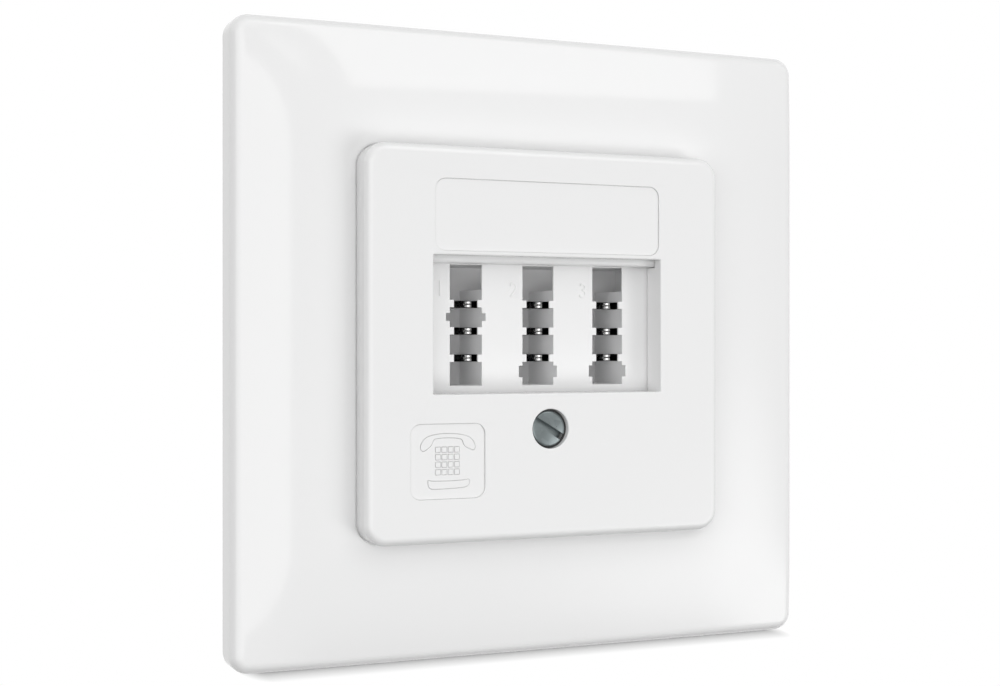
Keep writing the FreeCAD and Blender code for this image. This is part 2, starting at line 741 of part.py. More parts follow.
def make_clamp(label, x, z):
    # A brass cage for one wire, with a threaded front wall and a tail to the board.
    body = new_body(label)
    half = s.chamber_width / 2 - s.clamp_clearance
    tall = s.chamber_height / 2 - s.clamp_clearance
    pad_box(body, label + "_cage", chamber_floor, s.clamp_length, -half, half, -tall, tall)
    hole = new_sketch(body, label + "_wire_hole_sketch", tall, "XY_Plane")
    draw_box(hole, s.clamp_wall - half, half - s.clamp_wall,
             s.clamp_front_wall - clamp_front, -chamber_floor - s.clamp_wall)
    pocket(body, hole, label + "_wire_hole", tall * 2)
    thread = new_sketch(body, label + "_thread_sketch", clamp_front)
    draw_circle(thread, 0, 0, s.terminal_screw_diameter / 2 + s.screw_clearance)
    pocket(body, thread, label + "_thread", s.clamp_front_wall)
    pad_box(body, label + "_tail", board_front, chamber_floor - board_front,
            -s.tail_width / 2, s.tail_width / 2, -s.tail_thickness / 2, s.tail_thickness / 2)
    bind(body, "Placement.Base.x", x)
    bind(body, "Placement.Base.z", z)
    return body


def make_clamps():
    return [make_clamp(f"terminal_clamp_{row}", x, z) for row, x, z in terminal_places]


# Base housing, circuit board and rear cover

def inside_housing(margin):
    # Left, right, bottom and top of a box that lies inside the housing's outline by the margin.
    return (margin - housing_half, housing_half - margin, housing_bottom + margin, housing_top - margin)


def make_base_housing():
    body = new_body("base_housing")
    pad_box(body, "housing_block", -s.housing_depth, housing_front + s.housing_depth,
            *inside_housing(0), s.housing_corner_radius)
    pad_box(body, "mounting_lugs", -s.lug_thickness, s.lug_thickness, -housing_half - s.lug_width,
            housing_half + s.lug_width, -s.lug_height / 2, s.lug_height / 2, s.housing_corner_radius)
    boss = new_sketch(body, "insert_boss_sketch", housing_front)
    draw_circle(boss, 0, -screw_drop, s.insert_diameter / 2 + s.insert_clearance + s.housing_boss_wall)
    pad(body, boss, "insert_boss", s.housing_boss_height)
    pocket_box(body, "carrier_pocket", housing_front, housing_front - carrier_rear,
               -carrier_half - s.part_clearance, carrier_half + s.part_clearance,
               carrier_bottom - s.part_clearance, carrier_top + s.part_clearance)
    pocket_box(body, "rear_hollow", board_front, board_front + s.housing_depth,
               *inside_housing(s.housing_wall), s.hollow_corner_radius)
    catches = new_sketch(body, "catch_slots_sketch", catch_low + s.catch_height + s.part_clearance)
    for z in (-s.catch_row, s.catch_row):
        reach = s.catch_width / 2 + s.part_clearance
        draw_box(catches, -housing_half, housing_half, z - reach, z + reach)
    pocket(body, catches, "catch_slots", s.catch_height + s.part_clearance * 2)
    windows = new_sketch(body, "spring_windows_sketch", carrier_rear)
    for x in jack_centres:
        draw_box(windows, x - passage_half, x + passage_half,
                 s.neck_low - s.neck_height / 2, s.neck_high + s.neck_height / 2)
    pocket(body, windows, "spring_windows", carrier_rear - board_front)
    chambers = new_sketch(body, "terminal_chambers_sketch", housing_front)
    tails = new_sketch(body, "tail_slots_sketch", chamber_floor)
    for row, x, z in terminal_places:
        draw_box(chambers, x - s.chamber_width / 2, x + s.chamber_width / 2,
                 z - s.chamber_height / 2, z + s.chamber_height / 2)
        width = s.tail_width / 2 + s.tail_clearance
        height = s.tail_thickness / 2 + s.tail_clearance
        draw_box(tails, x - width, x + width, z - height, z + height)
    pocket(body, chambers, "terminal_chambers", s.chamber_depth)
    pocket(body, tails, "tail_slots", chamber_floor - board_front)
    for name, level in (("upper", housing_top), ("lower", housing_bottom + s.terminal_outer_wall)):
        entries = new_sketch(body, f"{name}_wire_entries_sketch", level, "XY_Plane")
        width = s.chamber_width / 2 - s.clamp_clearance - s.clamp_wall
        for x in terminal_columns:
            draw_box(entries, x - width, x + width,
                     s.clamp_front_wall - clamp_front, -chamber_floor - s.clamp_wall)
        pocket(body, entries, f"{name}_wire_entries", s.terminal_outer_wall)
    hole = new_sketch(body, "insert_hole_sketch", housing_boss_top)
    draw_circle(hole, 0, -screw_drop, s.insert_diameter / 2 + s.insert_clearance)
    pocket(body, hole, "insert_hole", s.insert_length)
    shank = new_sketch(body, "shank_hole_sketch", housing_boss_top - s.insert_length)
    draw_circle(shank, 0, -screw_drop, s.screw_shank_diameter / 2 + s.shank_clearance)
    pocket(body, shank, "shank_hole", housing_boss_top - s.insert_length - board_front)
    rivets = new_sketch(body, "rivet_holes_sketch", 0)
    for x, z in rivet_places:
        draw_circle(rivets, x, z, s.rivet_diameter / 2 + s.rivet_clearance)
    pocket(body, rivets, "rivet_holes", s.lug_thickness)
    return body


def make_circuit_board():
    body = new_body("circuit_board")
    pad_box(body, "board_block", board_front - s.board_thickness, s.board_thickness,
            *inside_housing(s.housing_wall + s.board_clearance), s.hollow_corner_radius)
    return body


def make_rear_cover():
    body = new_body("rear_cover")
    pad_box(body, "cover_plate", -s.housing_depth - s.cover_thickness, s.cover_thickness,
            *inside_housing(0), s.housing_corner_radius)
    margin = s.housing_wall + s.part_clearance
    rim = new_sketch(body, "cover_rim_sketch", -s.housing_depth)
    draw_box(rim, *inside_housing(margin), s.hollow_corner_radius)
    draw_box(rim, *inside_housing(margin + s.cover_rim_wall), s.hollow_corner_radius - s.cover_rim_wall)
    pad(body, rim, "cover_rim", s.cover_rim_height)
    posts = new_sketch(body, "cover_posts_sketch", -s.housing_depth)
    left, right, bottom, top = inside_housing(margin + s.cover_post_inset)
    for x in (left, right):
        for z in (bottom, top):
            draw_circle(posts, x, z, s.cover_post_radius)
    pad(body, posts, "cover_posts", s.housing_depth + board_front - s.board_thickness)
    # Catches on the rim that snap into the slots of the housing.
    catches = new_sketch(body, "cover_catches_sketch", catch_low)
    length = s.catch_reach + s.cover_rim_wall
    left, right, bottom, top = inside_housing(margin)
    for x in (left - s.catch_reach, right - s.cover_rim_wall):
        for z in (-s.catch_row, s.catch_row):
            draw_box(catches, x, x + length, z - s.catch_width / 2, z + s.catch_width / 2)
    pad(body, catches, "cover_catches", s.catch_height)
    return body


# Support ring

def draw_slot(sketch, x, z, length, width):
    # A slot with round ends that runs along X.
    radius = width / 2
    reach = length / 2 - radius
    left, right = number(x - reach), number(x + reach)
    low, high = number(z - radius), number(z + radius)
    ends_low = (FreeCAD.Vector(left, low, 0), FreeCAD.Vector(right, low, 0))
    ends_high = (FreeCAD.Vector(right, high, 0), FreeCAD.Vector(left, high, 0))
    lower = sketch.addGeometry(Part.LineSegment(*ends_low))
    upper = sketch.addGeometry(Part.LineSegment(*ends_high))
    ends = []
    for place, start in ((right, -math.pi / 2), (left, math.pi / 2)):
        circle = Part.Circle(FreeCAD.Vector(place, number(z), 0), FreeCAD.Vector(0, 0, 1), number(radius))
        ends.append(sketch.addGeometry(Part.ArcOfCircle(circle, start, start + math.pi)))
    for first, second in ((lower, ends[0]), (ends[0], upper), (upper, ends[1]), (ends[1], lower)):
        sketch.addConstraint(Sketcher.Constraint("Tangent", first, 2, second, 1))
    sketch.addConstraint(Sketcher.Constraint("Horizontal", lower))
    constrain(sketch, "Radius", ends[0], radius)
    constrain(sketch, "DistanceX", -1, 1, ends[0], 3, x + reach)
    constrain(sketch, "DistanceX", -1, 1, ends[1], 3, x - reach)
    constrain(sketch, "DistanceY", -1, 1, ends[0], 3, z)


def make_support_ring():
    body = new_body("support_ring")
    pad_box(body, "ring_plate", 0, s.ring_thickness, -ring_half, ring_half, -ring_half, ring_half,
            s.ring_corner_radius)
    pocket_box(body, "ring_opening", s.ring_thickness, s.ring_thickness,
               *inside_housing(-s.ring_opening_clearance), s.housing_corner_radius + s.ring_opening_clearance)
    holes = new_sketch(body, "ring_holes_sketch", s.ring_thickness)
    for place in (-s.box_screw_spacing / 2, s.box_screw_spacing / 2):
        draw_circle(holes, place, 0, s.box_screw_hole_diameter / 2)
        draw_slot(holes, 0, place, s.ring_slot_length, s.box_screw_hole_diameter)
    corner = ring_half - s.ring_corner_hole_inset
    for x, z in ((-corner, -corner), (-corner, corner), (corner, -corner), (corner, corner)):
        draw_circle(holes, x, z, s.ring_corner_hole_diameter / 2)
    for x, z in rivet_places:
        draw_circle(holes, x, z, s.rivet_diameter / 2 + s.rivet_clearance)
    pocket(body, holes, "ring_holes", s.ring_thickness)
    return body


def check_model(parts):
    faults = [f"{item.Label}: {item.State}" for item in doc.Objects
              if "Invalid" in item.State or "Error" in item.State]
    for item in parts:
        if item.Shape.isNull() or not item.Shape.isValid():
            faults.append(f"{item.Label}: shape is not valid")
    for before, cut in cuts:
        if before is not None and cut.Shape.Volume >= before.Shape.Volume:
            faults.append(f"{cut.Label}: it removes nothing")
    if faults:
        raise RuntimeError("\n".join(faults))


doc = FreeCAD.newDocument("telephone_socket")
sheet = make_sheet()
s = read_sizes()
cuts = []

# How far apart two places may be and still count as the same.
touch = 0.001
# Patches along each side of the interpolated frame surface.
surface_steps = 26
# Terminals in each row.
terminals_per_row = 6

# Heights and places that follow from the driving sizes.
ledge_rear = s.ring_thickness + s.frame_ring_gap
ledge_front = ledge_rear + s.frame_ledge_thickness
frame_opening_radius = s.plate_corner_radius + s.frame_opening_clearance
plate_rear = s.plate_front - s.plate_wall
collar_rear = s.plate_front - s.window_depth
jack_face = collar_rear - s.face_gap
cap_rear = jack_face - s.cap_thickness
cavity_floor = jack_face - s.cavity_depth
carrier_rear = cavity_floor - s.carrier_floor
housing_front = cap_rear - s.cap_skirt
window_half = s.slot_pitch + s.window_margin
cap_half = window_half + s.cap_side_overlap
cap_bottom = s.window_bottom - s.cap_lower_overlap
cap_top = s.window_top + s.cap_upper_overlap
rail_bottom = s.window_top - s.rail_drop
slot_bottom = s.window_bottom + s.slot_sill
slot_top = rail_bottom - s.slot_top_gap
passage_half = s.spring_tail_offset + s.spring_thickness / 2 + s.part_clearance
carrier_half = cap_half - s.cap_wall - s.part_clearance
carrier_bottom = cap_bottom + s.cap_wall + s.part_clearance
carrier_top = cap_top - s.cap_wall - s.part_clearance
board_front = carrier_rear - s.housing_floor
screw_top = s.plate_front - s.screw_head_recess
screw_seat = screw_top - s.screw_head_height
housing_boss_top = housing_front + s.housing_boss_height
chamber_floor = housing_front - s.chamber_depth
clamp_front = chamber_floor + s.clamp_length
terminal_head_base = clamp_front + s.terminal_head_lift
screw_drop = (s.insert_diameter / 2 + s.insert_clearance + s.housing_boss_wall + s.housing_boss_gap
              - cap_bottom)
housing_half = cap_half + s.housing_side
housing_top = cap_top + s.terminal_gap + s.chamber_height + s.terminal_outer_wall
housing_bottom = -(screw_drop + s.insert_diameter / 2 + s.terminal_insert_gap + s.chamber_height
                   + s.terminal_outer_wall)
catch_low = s.catch_lift - s.housing_depth
plate_half = housing_top + s.plate_margin
frame_opening_half = plate_half + s.frame_opening_clearance
ring_half = s.box_screw_spacing / 2 + s.ring_margin
frame_half = ring_half + s.ring_edge_gap + s.frame_wall
jack_centres = [-s.slot_pitch, 0, s.slot_pitch]
neck_centres = [s.neck_low, s.neck_middle, s.neck_high]
terminal_pitch = (cap_half * 2 - s.chamber_width) / (terminals_per_row - 1)
terminal_columns = [terminal_pitch * (i - (terminals_per_row - 1) / 2) for i in range(terminals_per_row)]
upper_row = housing_top - s.terminal_outer_wall - s.chamber_height / 2
lower_row = housing_bottom + s.terminal_outer_wall + s.chamber_height / 2
terminal_places = [(f"{name}_{i + 1}", x, z) for name, z in (("upper", upper_row), ("lower", lower_row))
                   for i, x in enumerate(terminal_columns)]
rivet_row = housing_half + s.rivet_offset
rivet_places = [(x, z) for x in (-rivet_row, rivet_row)
                for z in (-s.rivet_spacing / 2, s.rivet_spacing / 2)]

parts = [make_cover_frame(), make_centre_plate(), make_centre_screw(), make_centre_insert(),
         make_jack_cover(), make_contact_carrier(), make_base_housing(), make_circuit_board(),
         make_rear_cover(), make_support_ring(), make_terminal_screws(), make_ring_rivets()]
parts += make_springs()
parts += make_clamps()
doc.recompute()
check_model(parts)

os.makedirs("parts", exist_ok=True)
for item in parts:
    item.Shape.exportStep(f"parts/{item.Label}.step")
    print(item.Label, len(item.Shape.Solids), round(item.Shape.Volume, 1))
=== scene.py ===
import math

import bmesh
import bpy
import numpy as np
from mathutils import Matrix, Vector
from mathutils.geometry import tessellate_polygon


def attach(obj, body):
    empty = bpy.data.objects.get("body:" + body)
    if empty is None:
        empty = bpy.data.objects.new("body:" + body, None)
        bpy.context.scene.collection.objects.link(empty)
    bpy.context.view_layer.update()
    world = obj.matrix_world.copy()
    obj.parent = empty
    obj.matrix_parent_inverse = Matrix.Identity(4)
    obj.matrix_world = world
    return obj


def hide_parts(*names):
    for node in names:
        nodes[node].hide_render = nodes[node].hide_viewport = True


# A telephone wall socket. Points are (x, z) pairs in millimetres seen from the front, x to the right,
# z up, and a height is measured from the wall plane towards the room. The front faces -Y.
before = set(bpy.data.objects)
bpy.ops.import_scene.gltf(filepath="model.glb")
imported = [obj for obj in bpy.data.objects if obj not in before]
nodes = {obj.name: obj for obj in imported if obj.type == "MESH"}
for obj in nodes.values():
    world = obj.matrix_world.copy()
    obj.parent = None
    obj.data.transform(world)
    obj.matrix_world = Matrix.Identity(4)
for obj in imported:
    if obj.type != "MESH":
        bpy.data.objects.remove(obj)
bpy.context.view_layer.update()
mm = 0.001
weldDistance = 1e-6
smallestArea = 1e-9


# Outlines: each is a closed run of points with the outward direction at every point.

def roundedOutline(left, right, bottom, top, radius, perCorner=10, perSide=1):
    # Four quarter circles joined by straight runs, anticlockwise: corner centre + radius * direction.
    middles = np.array([(right - radius, bottom + radius), (right - radius, top - radius),
                        (left + radius, top - radius), (left + radius, bottom + radius)])
    turn = np.linspace(0, math.pi / 2, perCorner + 1)
    points, outward = [], []
    for i in range(4):
        angle = turn + (i - 1) * math.pi / 2
        direction = np.stack([np.cos(angle), np.sin(angle)], 1)
        corner = middles[i] + radius * direction
        after = middles[(i + 1) % 4] + radius * direction[-1]
        share = np.arange(1, perSide)[:, None] / perSide
        points += [corner, corner[-1] * (1 - share) + after * share]
        outward += [direction, np.repeat(direction[-1:], perSide - 1, 0)]
    return np.concatenate(points), np.concatenate(outward)


def squareOutline(half, radius, perCorner, perSide=1):
    # The same round the middle, with all sides equal: from -half to half both ways.
    return roundedOutline(-half, half, -half, half, radius, perCorner, perSide)


def circleOutline(x, z, radius, count=64):
    # Centre + radius * (cos, sin) of evenly spaced angles.
    angle = np.arange(count) * 2 * math.pi / count
    direction = np.stack([np.cos(angle), np.sin(angle)], 1)
    return np.array([x, z]) + radius * direction, direction


# Meshes: a part is (points, faces) with points in millimetres as (x, z, height).

def sweepProfile(outline, profile):
    # Carries a profile of (offset, height) rows round an outline: point + outward * offset, at that height.
    points, outward = outline
    rows = [np.column_stack([points + outward * offset, np.full(len(points), height)])
            for offset, height in profile]
    return gridFaces(np.array(rows))


def gridFaces(rows, closedRows=False, closedColumns=True):
    # Quads between neighbouring rows and columns of an array of points.
    rowCount, columnCount = rows.shape[:2]
    index = np.arange(rowCount * columnCount).reshape(rowCount, columnCount)
    if closedRows:
        index = np.concatenate([index, index[:1]])
    if closedColumns:
        index = np.concatenate([index, index[:, :1]], axis=1)
    quads = np.stack([index[:-1, :-1], index[:-1, 1:], index[1:, 1:], index[1:, :-1]], -1)
    return rows.reshape(-1, 3), quads.reshape(-1, 4).tolist()


def fillFlat(outer, holes, height, facing=1):
    # Triangles of the flat area inside an outline and outside its holes, facing the room or the wall.
    loops = [outer] + list(holes)
    flat = np.concatenate(loops)
    triangles = np.array(tessellate_polygon([[Vector((*p, 0)) for p in loop] for loop in loops]))
    a, b, c = (flat[triangles[:, k]] for k in range(3))
    area = (b[:, 0] - a[:, 0]) * (c[:, 1] - a[:, 1]) - (b[:, 1] - a[:, 1]) * (c[:, 0] - a[:, 0])
    wrong = area * facing < 0
    triangles[wrong] = triangles[wrong][:, ::-1]
    keep = np.abs(area) > smallestArea
    return np.column_stack([flat, np.full(len(flat), height)]), triangles[keep].tolist()


def block(left, right, bottom, top, low, high):
    # A box between two heights, as one closed loop of walls and two ends.
    corners = np.array([(right, bottom), (right, top), (left, top), (left, bottom)], float)
    walls = sweepProfile((corners, np.zeros((4, 2))), [(0, low), (0, high)])
    return [walls, fillFlat(corners, [], high), fillFlat(corners, [], low, -1)]


def arc(radius, offset, height, steps=5):
    # A quarter round from a wall up to a flat face: the last point lies radius inside the offset.
    angle = np.linspace(0, math.pi / 2, steps + 1)
    return list(zip(offset - radius + radius * np.cos(angle), height - radius + radius * np.sin(angle)))


def makePiece(name, parts, material, sharpAngle=32, bevel=0.0, node=None, turnOut=False):
    # Joins parts into one object in metres, welds its seams and gives it smooth faces with sharp edges.
    points = np.concatenate([np.asarray(p, float) for p, faces in parts])
    faces, start = [], 0
    for p, f in parts:
        faces += [[i + start for i in face] for face in f]
        start += len(p)
    mesh = bpy.data.meshes.new(name)
    place = np.column_stack([points[:, 0], -points[:, 2], points[:, 1]]) * mm
    mesh.from_pydata(place.tolist(), [], faces)
    work = bmesh.new()
    work.from_mesh(mesh)
    bmesh.ops.remove_doubles(work, verts=work.verts, dist=weldDistance)
    if turnOut:
        bmesh.ops.recalc_face_normals(work, faces=work.faces)
    work.to_mesh(mesh)
    work.free()
    return finishPiece(name, mesh, material, sharpAngle, bevel, node)


def addObject(name, data):
    # A new object that shows this data, in the scene's own collection.
    thing = bpy.data.objects.new(name, data)
    bpy.context.scene.collection.objects.link(thing)
    return thing


def finishPiece(name, mesh, material, sharpAngle=32, bevel=0.0, node=None, segments=2):
    # Shading, finish and edge rounding, and the piece's place in the part.
    mesh.shade_smooth()
    mesh.set_sharp_from_angle(angle=math.radians(sharpAngle))
    piece = addObject(name, mesh)
    mesh.materials.clear()
    mesh.materials.append(material)
    if bevel:
        rounding = piece.modifiers.new("edges", "BEVEL")
        rounding.width = bevel * mm
        rounding.segments = segments
        rounding.limit_method = "ANGLE"
        rounding.angle_limit = math.radians(sharpAngle)
        rounding.harden_normals = True
    normals = piece.modifiers.new("normals", "WEIGHTED_NORMAL")
    normals.keep_sharp = True
    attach(piece, "root")
    if node:
        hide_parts(node)
    return piece


def refinedCopy(node, material, bevel, joinFaces, sharpAngle=32, joinAngle=0.6):
    # The CAD node's own shape, welded, and with its flat faces joined where they have no holes.
    mesh = nodes[node].data.copy()
    mesh.name = node + "_shape"
    work = bmesh.new()
    work.from_mesh(mesh)
    bmesh.ops.remove_doubles(work, verts=work.verts, dist=2 * weldDistance)
    if joinFaces:
        bmesh.ops.dissolve_limit(work, angle_limit=math.radians(joinAngle), verts=work.verts, edges=work.edges)
    work.to_mesh(mesh)
    work.free()
    given = mesh.attributes.get("custom_normal")
    if given:
        mesh.attributes.remove(given)
    return finishPiece(node + "_shape", mesh, material, sharpAngle, bevel, node)


# Shaders: texture scales are in waves per metre, as all sizes of a material.
textureScale = {"clouds": 160.0, "marks": 420.0, "scratches": 2500.0}


def addNode(tree, kind, inputs=None, **settings):
    # Settings are the node's own. Inputs go by name or number, each to a value or to another node's output.
    node = tree.nodes.new(kind)
    for key, value in settings.items():
        setattr(node, key, value)
    for key, value in (inputs or {}).items():
        if isinstance(value, bpy.types.NodeSocket):
            tree.links.new(value, node.inputs[key])
        else:
            node.inputs[key].default_value = value
    return node


def addMath(tree, operation, *terms):
    # One sum, product or other operation on its terms, each a value or another node's output.
    return addNode(tree, "ShaderNodeMath", dict(enumerate(terms)), operation=operation).outputs[0]


def addRange(tree, value, source, target=(0.0, 1.0), **settings):
    # Carries a value over from the source range to the target range, held at both ends.
    inputs = {"Value": value, "From Min": source[0], "From Max": source[1], "To Min": target[0], "To Max": target[1]}
    return addNode(tree, "ShaderNodeMapRange", inputs, **settings).outputs["Result"]


def mixTones(tree, share, first, second):
    # First * (1 - share) + second * share.
    return addNode(tree, "ShaderNodeMix", {0: share, 6: first, 7: second}, data_type="RGBA").outputs[2]


def newGroup(name, inputs):
    # A surface group puts out a colour, a roughness and a height that change over the surface.
    group = bpy.data.node_groups.new(name, "ShaderNodeTree")
    for label, kind, value in inputs:
        socket = group.interface.new_socket(label, in_out="INPUT", socket_type="NodeSocket" + kind)
        socket.default_value = value
    for label, kind in (("Color", "Color"), ("Roughness", "Float"), ("Height", "Float")):
        group.interface.new_socket(label, in_out="OUTPUT", socket_type="NodeSocket" + kind)
    return group, group.nodes.new("NodeGroupInput").outputs


def makeMouldedGroup():
    # Moulded plastic: a fine spark-eroded grain, soft flow clouds in the tone and handling marks in the gloss.
    group, given = newGroup("mouldedSurface", [
        ("Tone", "Color", (0.8, 0.8, 0.8, 1)), ("Cloud Tone", "Color", (0.78, 0.78, 0.78, 1)),
        ("Grain Scale", "Float", 9000.0), ("Grain", "Float", 0.3),
        ("Wave Scale", "Float", 90.0), ("Wave", "Float", 0.1),
        ("Roughness Low", "Float", 0.2), ("Roughness High", "Float", 0.3)])
    place = addNode(group, "ShaderNodeTexCoord").outputs["Object"]
    clouds, grain, wave, marks = [
        addNode(group, "ShaderNodeTexNoise", {"Vector": place, "Scale": scale, "Detail": detail}).outputs["Fac"]
        for scale, detail in ((textureScale["clouds"], 3.0), (given["Grain Scale"], 2.0),
                              (given["Wave Scale"], 1.0), (textureScale["marks"], 4.0))]
    fine = addMath(group, "MULTIPLY", grain, given["Grain"])
    broad = addMath(group, "MULTIPLY", wave, given["Wave"])
    addNode(group, "NodeGroupOutput", {
        "Color": mixTones(group, clouds, given["Tone"], given["Cloud Tone"]),
        "Roughness": addRange(group, marks, (0.0, 1.0), (given["Roughness Low"], given["Roughness High"])),
        "Height": addMath(group, "ADD", fine, broad)})
    return group


def makeMetalGroup():
    # Plated metal: scratches along one direction in the gloss and the relief, and small crystals in the tone.
    group, given = newGroup("platedMetal", [
        ("Tone", "Color", (0.6, 0.6, 0.6, 1)), ("Spot Tone", "Color", (0.5, 0.5, 0.5, 1)),
        ("Stretch", "Vector", (1.0, 1.0, 1.0)), ("Spot Scale", "Float", 900.0),
        ("Roughness Low", "Float", 0.25), ("Roughness High", "Float", 0.45)])
    place = addNode(group, "ShaderNodeTexCoord").outputs["Object"]
    spread = addNode(group, "ShaderNodeVectorMath", {0: place, 1: given["Stretch"]}, operation="MULTIPLY")
    noise = {"Vector": spread.outputs[0], "Scale": textureScale["scratches"], "Detail": 3.0}
    scratches = addNode(group, "ShaderNodeTexNoise", noise).outputs["Fac"]
    crystals = addNode(group, "ShaderNodeTexVoronoi", {"Vector": place, "Scale": given["Spot Scale"]})
    flakes = addNode(group, "ShaderNodeSeparateColor", {"Color": crystals.outputs["Color"]})
    addNode(group, "NodeGroupOutput", {
        "Color": mixTones(group, flakes.outputs[0], given["Tone"], given["Spot Tone"]),
        "Roughness": addRange(group, scratches, (0.0, 1.0), (given["Roughness Low"], given["Roughness High"])),
        "Height": scratches})
    return group


def makeMaterial(name, group, values, bumpDepth, shader):
    # One group drives colour, roughness and a bump; the shader's own sockets hold what is the same all over.
    material = bpy.data.materials.new(name)
    material.use_nodes = True
    tree = material.node_tree
    surface = tree.nodes["Principled BSDF"]
    for key, value in shader.items():
        surface.inputs[key].default_value = value
    effect = addNode(tree, "ShaderNodeGroup", values, node_tree=group).outputs
    bump = addNode(tree, "ShaderNodeBump", {"Strength": 1.0, "Distance": bumpDepth, "Height": effect["Height"]})
    tree.links.new(effect["Color"], surface.inputs["Base Color"])
    tree.links.new(effect["Roughness"], surface.inputs["Roughness"])
    tree.links.new(bump.outputs["Normal"], surface.inputs["Normal"])
    return material


def grey(value, blue=0.0):
    # The same red, green and blue, with a little more blue on request.
    return (value, value, value + blue, 1)


moulded = makeMouldedGroup()
plated = makeMetalGroup()

# White and grey plastics, a near-black plastic that paints shade, the board and the metals; the number after each is
# the depth of its bump in metres
framePlastic = makeMaterial("framePlastic", moulded, {
    "Tone": grey(0.845), "Cloud Tone": grey(0.84), "Grain": 0.02, "Wave": 0.5, "Wave Scale": 60.0,
    "Roughness Low": 0.07, "Roughness High": 0.10}, 2e-6, {"IOR": 1.52})
platePlastic = makeMaterial("platePlastic", moulded, {
    "Tone": grey(0.845), "Cloud Tone": grey(0.84), "Grain": 0.2, "Grain Scale": 11000.0, "Wave": 0.3,
    "Roughness Low": 0.1, "Roughness High": 0.15}, 3e-6, {"IOR": 1.5})
jackPlastic = makeMaterial("jackPlastic", moulded, {
    "Tone": grey(0.84), "Cloud Tone": grey(0.83), "Grain": 0.6, "Wave": 0.2,
    "Roughness Low": 0.34, "Roughness High": 0.42}, 4e-6, {"IOR": 1.5})
carrierPlastic = makeMaterial("carrierPlastic", moulded, {
    "Tone": grey(0.885, 0.003), "Cloud Tone": grey(0.875, 0.003), "Grain": 0.8, "Wave": 0.3,
    "Roughness Low": 0.42, "Roughness High": 0.55}, 6e-6, {"IOR": 1.48})
# Painted shade: a near-black plastic for the sheets in the contact chambers and the ring in the gap round the screw
# head
paintedShadePlastic = makeMaterial("paintedShadePlastic", moulded, {
    "Tone": grey(0.04), "Cloud Tone": grey(0.03), "Grain": 0.8, "Wave": 0.3,
    "Roughness Low": 0.45, "Roughness High": 0.6}, 6e-6, {"IOR": 1.45})
housingPlastic = makeMaterial("housingPlastic", moulded, {
    "Tone": grey(0.62), "Cloud Tone": grey(0.59), "Grain": 0.8, "Wave": 0.3,
    "Roughness Low": 0.4, "Roughness High": 0.55}, 6e-6, {"IOR": 1.5})
boardLaminate = makeMaterial("boardLaminate", moulded, {
    "Tone": (0.02, 0.10, 0.035, 1), "Cloud Tone": (0.025, 0.12, 0.04, 1), "Grain": 0.3, "Wave": 0.3,
    "Roughness Low": 0.2, "Roughness High": 0.35}, 3e-6, {"IOR": 1.5})
screwZinc = makeMaterial("screwZinc", plated, {
    "Tone": (0.34, 0.385, 0.39, 1), "Spot Tone": (0.27, 0.305, 0.31, 1), "Stretch": (0.5, 4.0, 1.0),
    "Roughness Low": 0.24, "Roughness High": 0.36}, 3e-6, {"Metallic": 1.0})
ringSteel = makeMaterial("ringSteel", plated, {
    "Tone": (0.60, 0.62, 0.63, 1), "Spot Tone": (0.44, 0.46, 0.48, 1), "Stretch": (0.08, 1.0, 1.0),
    "Spot Scale": 420.0, "Roughness Low": 0.3, "Roughness High": 0.5}, 4e-6, {"Metallic": 1.0})
springMetal = makeMaterial("springMetal", plated, {
    "Tone": (0.93, 0.93, 0.92, 1), "Spot Tone": (0.88, 0.88, 0.87, 1), "Stretch": (1.0, 0.1, 1.0),
    "Roughness Low": 0.22, "Roughness High": 0.32}, 1e-6, {"Metallic": 1.0})
brass = makeMaterial("brass", plated, {
    "Tone": (0.72, 0.52, 0.22, 1), "Spot Tone": (0.64, 0.45, 0.18, 1), "Stretch": (1.0, 0.2, 1.0),
    "Roughness Low": 0.2, "Roughness High": 0.34}, 2e-6, {"Metallic": 1.0})
rivetMetal = makeMaterial("rivetMetal", plated, {
    "Tone": (0.66, 0.66, 0.67, 1), "Spot Tone": (0.58, 0.58, 0.6, 1), "Stretch": (1.0, 1.0, 1.0),
    "Roughness Low": 0.28, "Roughness High": 0.42}, 2e-6, {"Metallic": 1.0})
print("materials ready")

# Cover frame: a softly domed square with a rolled outer edge
coverFrame = {"half": 40.5, "corner": 2.4, "edgeHeight": 4.6, "rise": 1.85, "edgeRound": 1.6, "wall": 1.8,
              "opening": 25.1, "openingCorner": 2.9, "lipWidth": 1.5, "lipDrop": 0.4,
              "gapDepth": 0.08, "gapReach": 0.08, "ledgeFront": 2.8, "ledgeRear": 1.5,
              "ledgeWidth": 1.2, "collar": 1.4, "ribHalf": 0.6, "ribOffset": 13.0, "ribDrop": 1.08,
              "rearChamfer": 0.25, "cornerSteps": 12, "sideSteps": 56, "domeSteps": 34, "insideSteps": 14,
              "lipSteps": 9}


def domeHeight(points, drop=0.0):
    # Edge height + rise * fall(x) * fall(z), where fall drops as a parabola from the opening to the edge.
    c = coverFrame
    share = np.clip((np.abs(points) - c["opening"]) / (c["half"] - c["opening"]), 0, 2)
    fall = 1 - share ** 2
    return c["edgeHeight"] + c["rise"] * fall[..., 0] * fall[..., 1] - drop


def domeRows(start, end, count, drop=0.0):
    # Straight lines between two matched outlines, lifted onto the dome.
    share = np.linspace(0, 1, count)[:, None, None]
    flat = start * (1 - share) + end * share
    return np.concatenate([flat, domeHeight(flat, drop)[..., None]], axis=2)


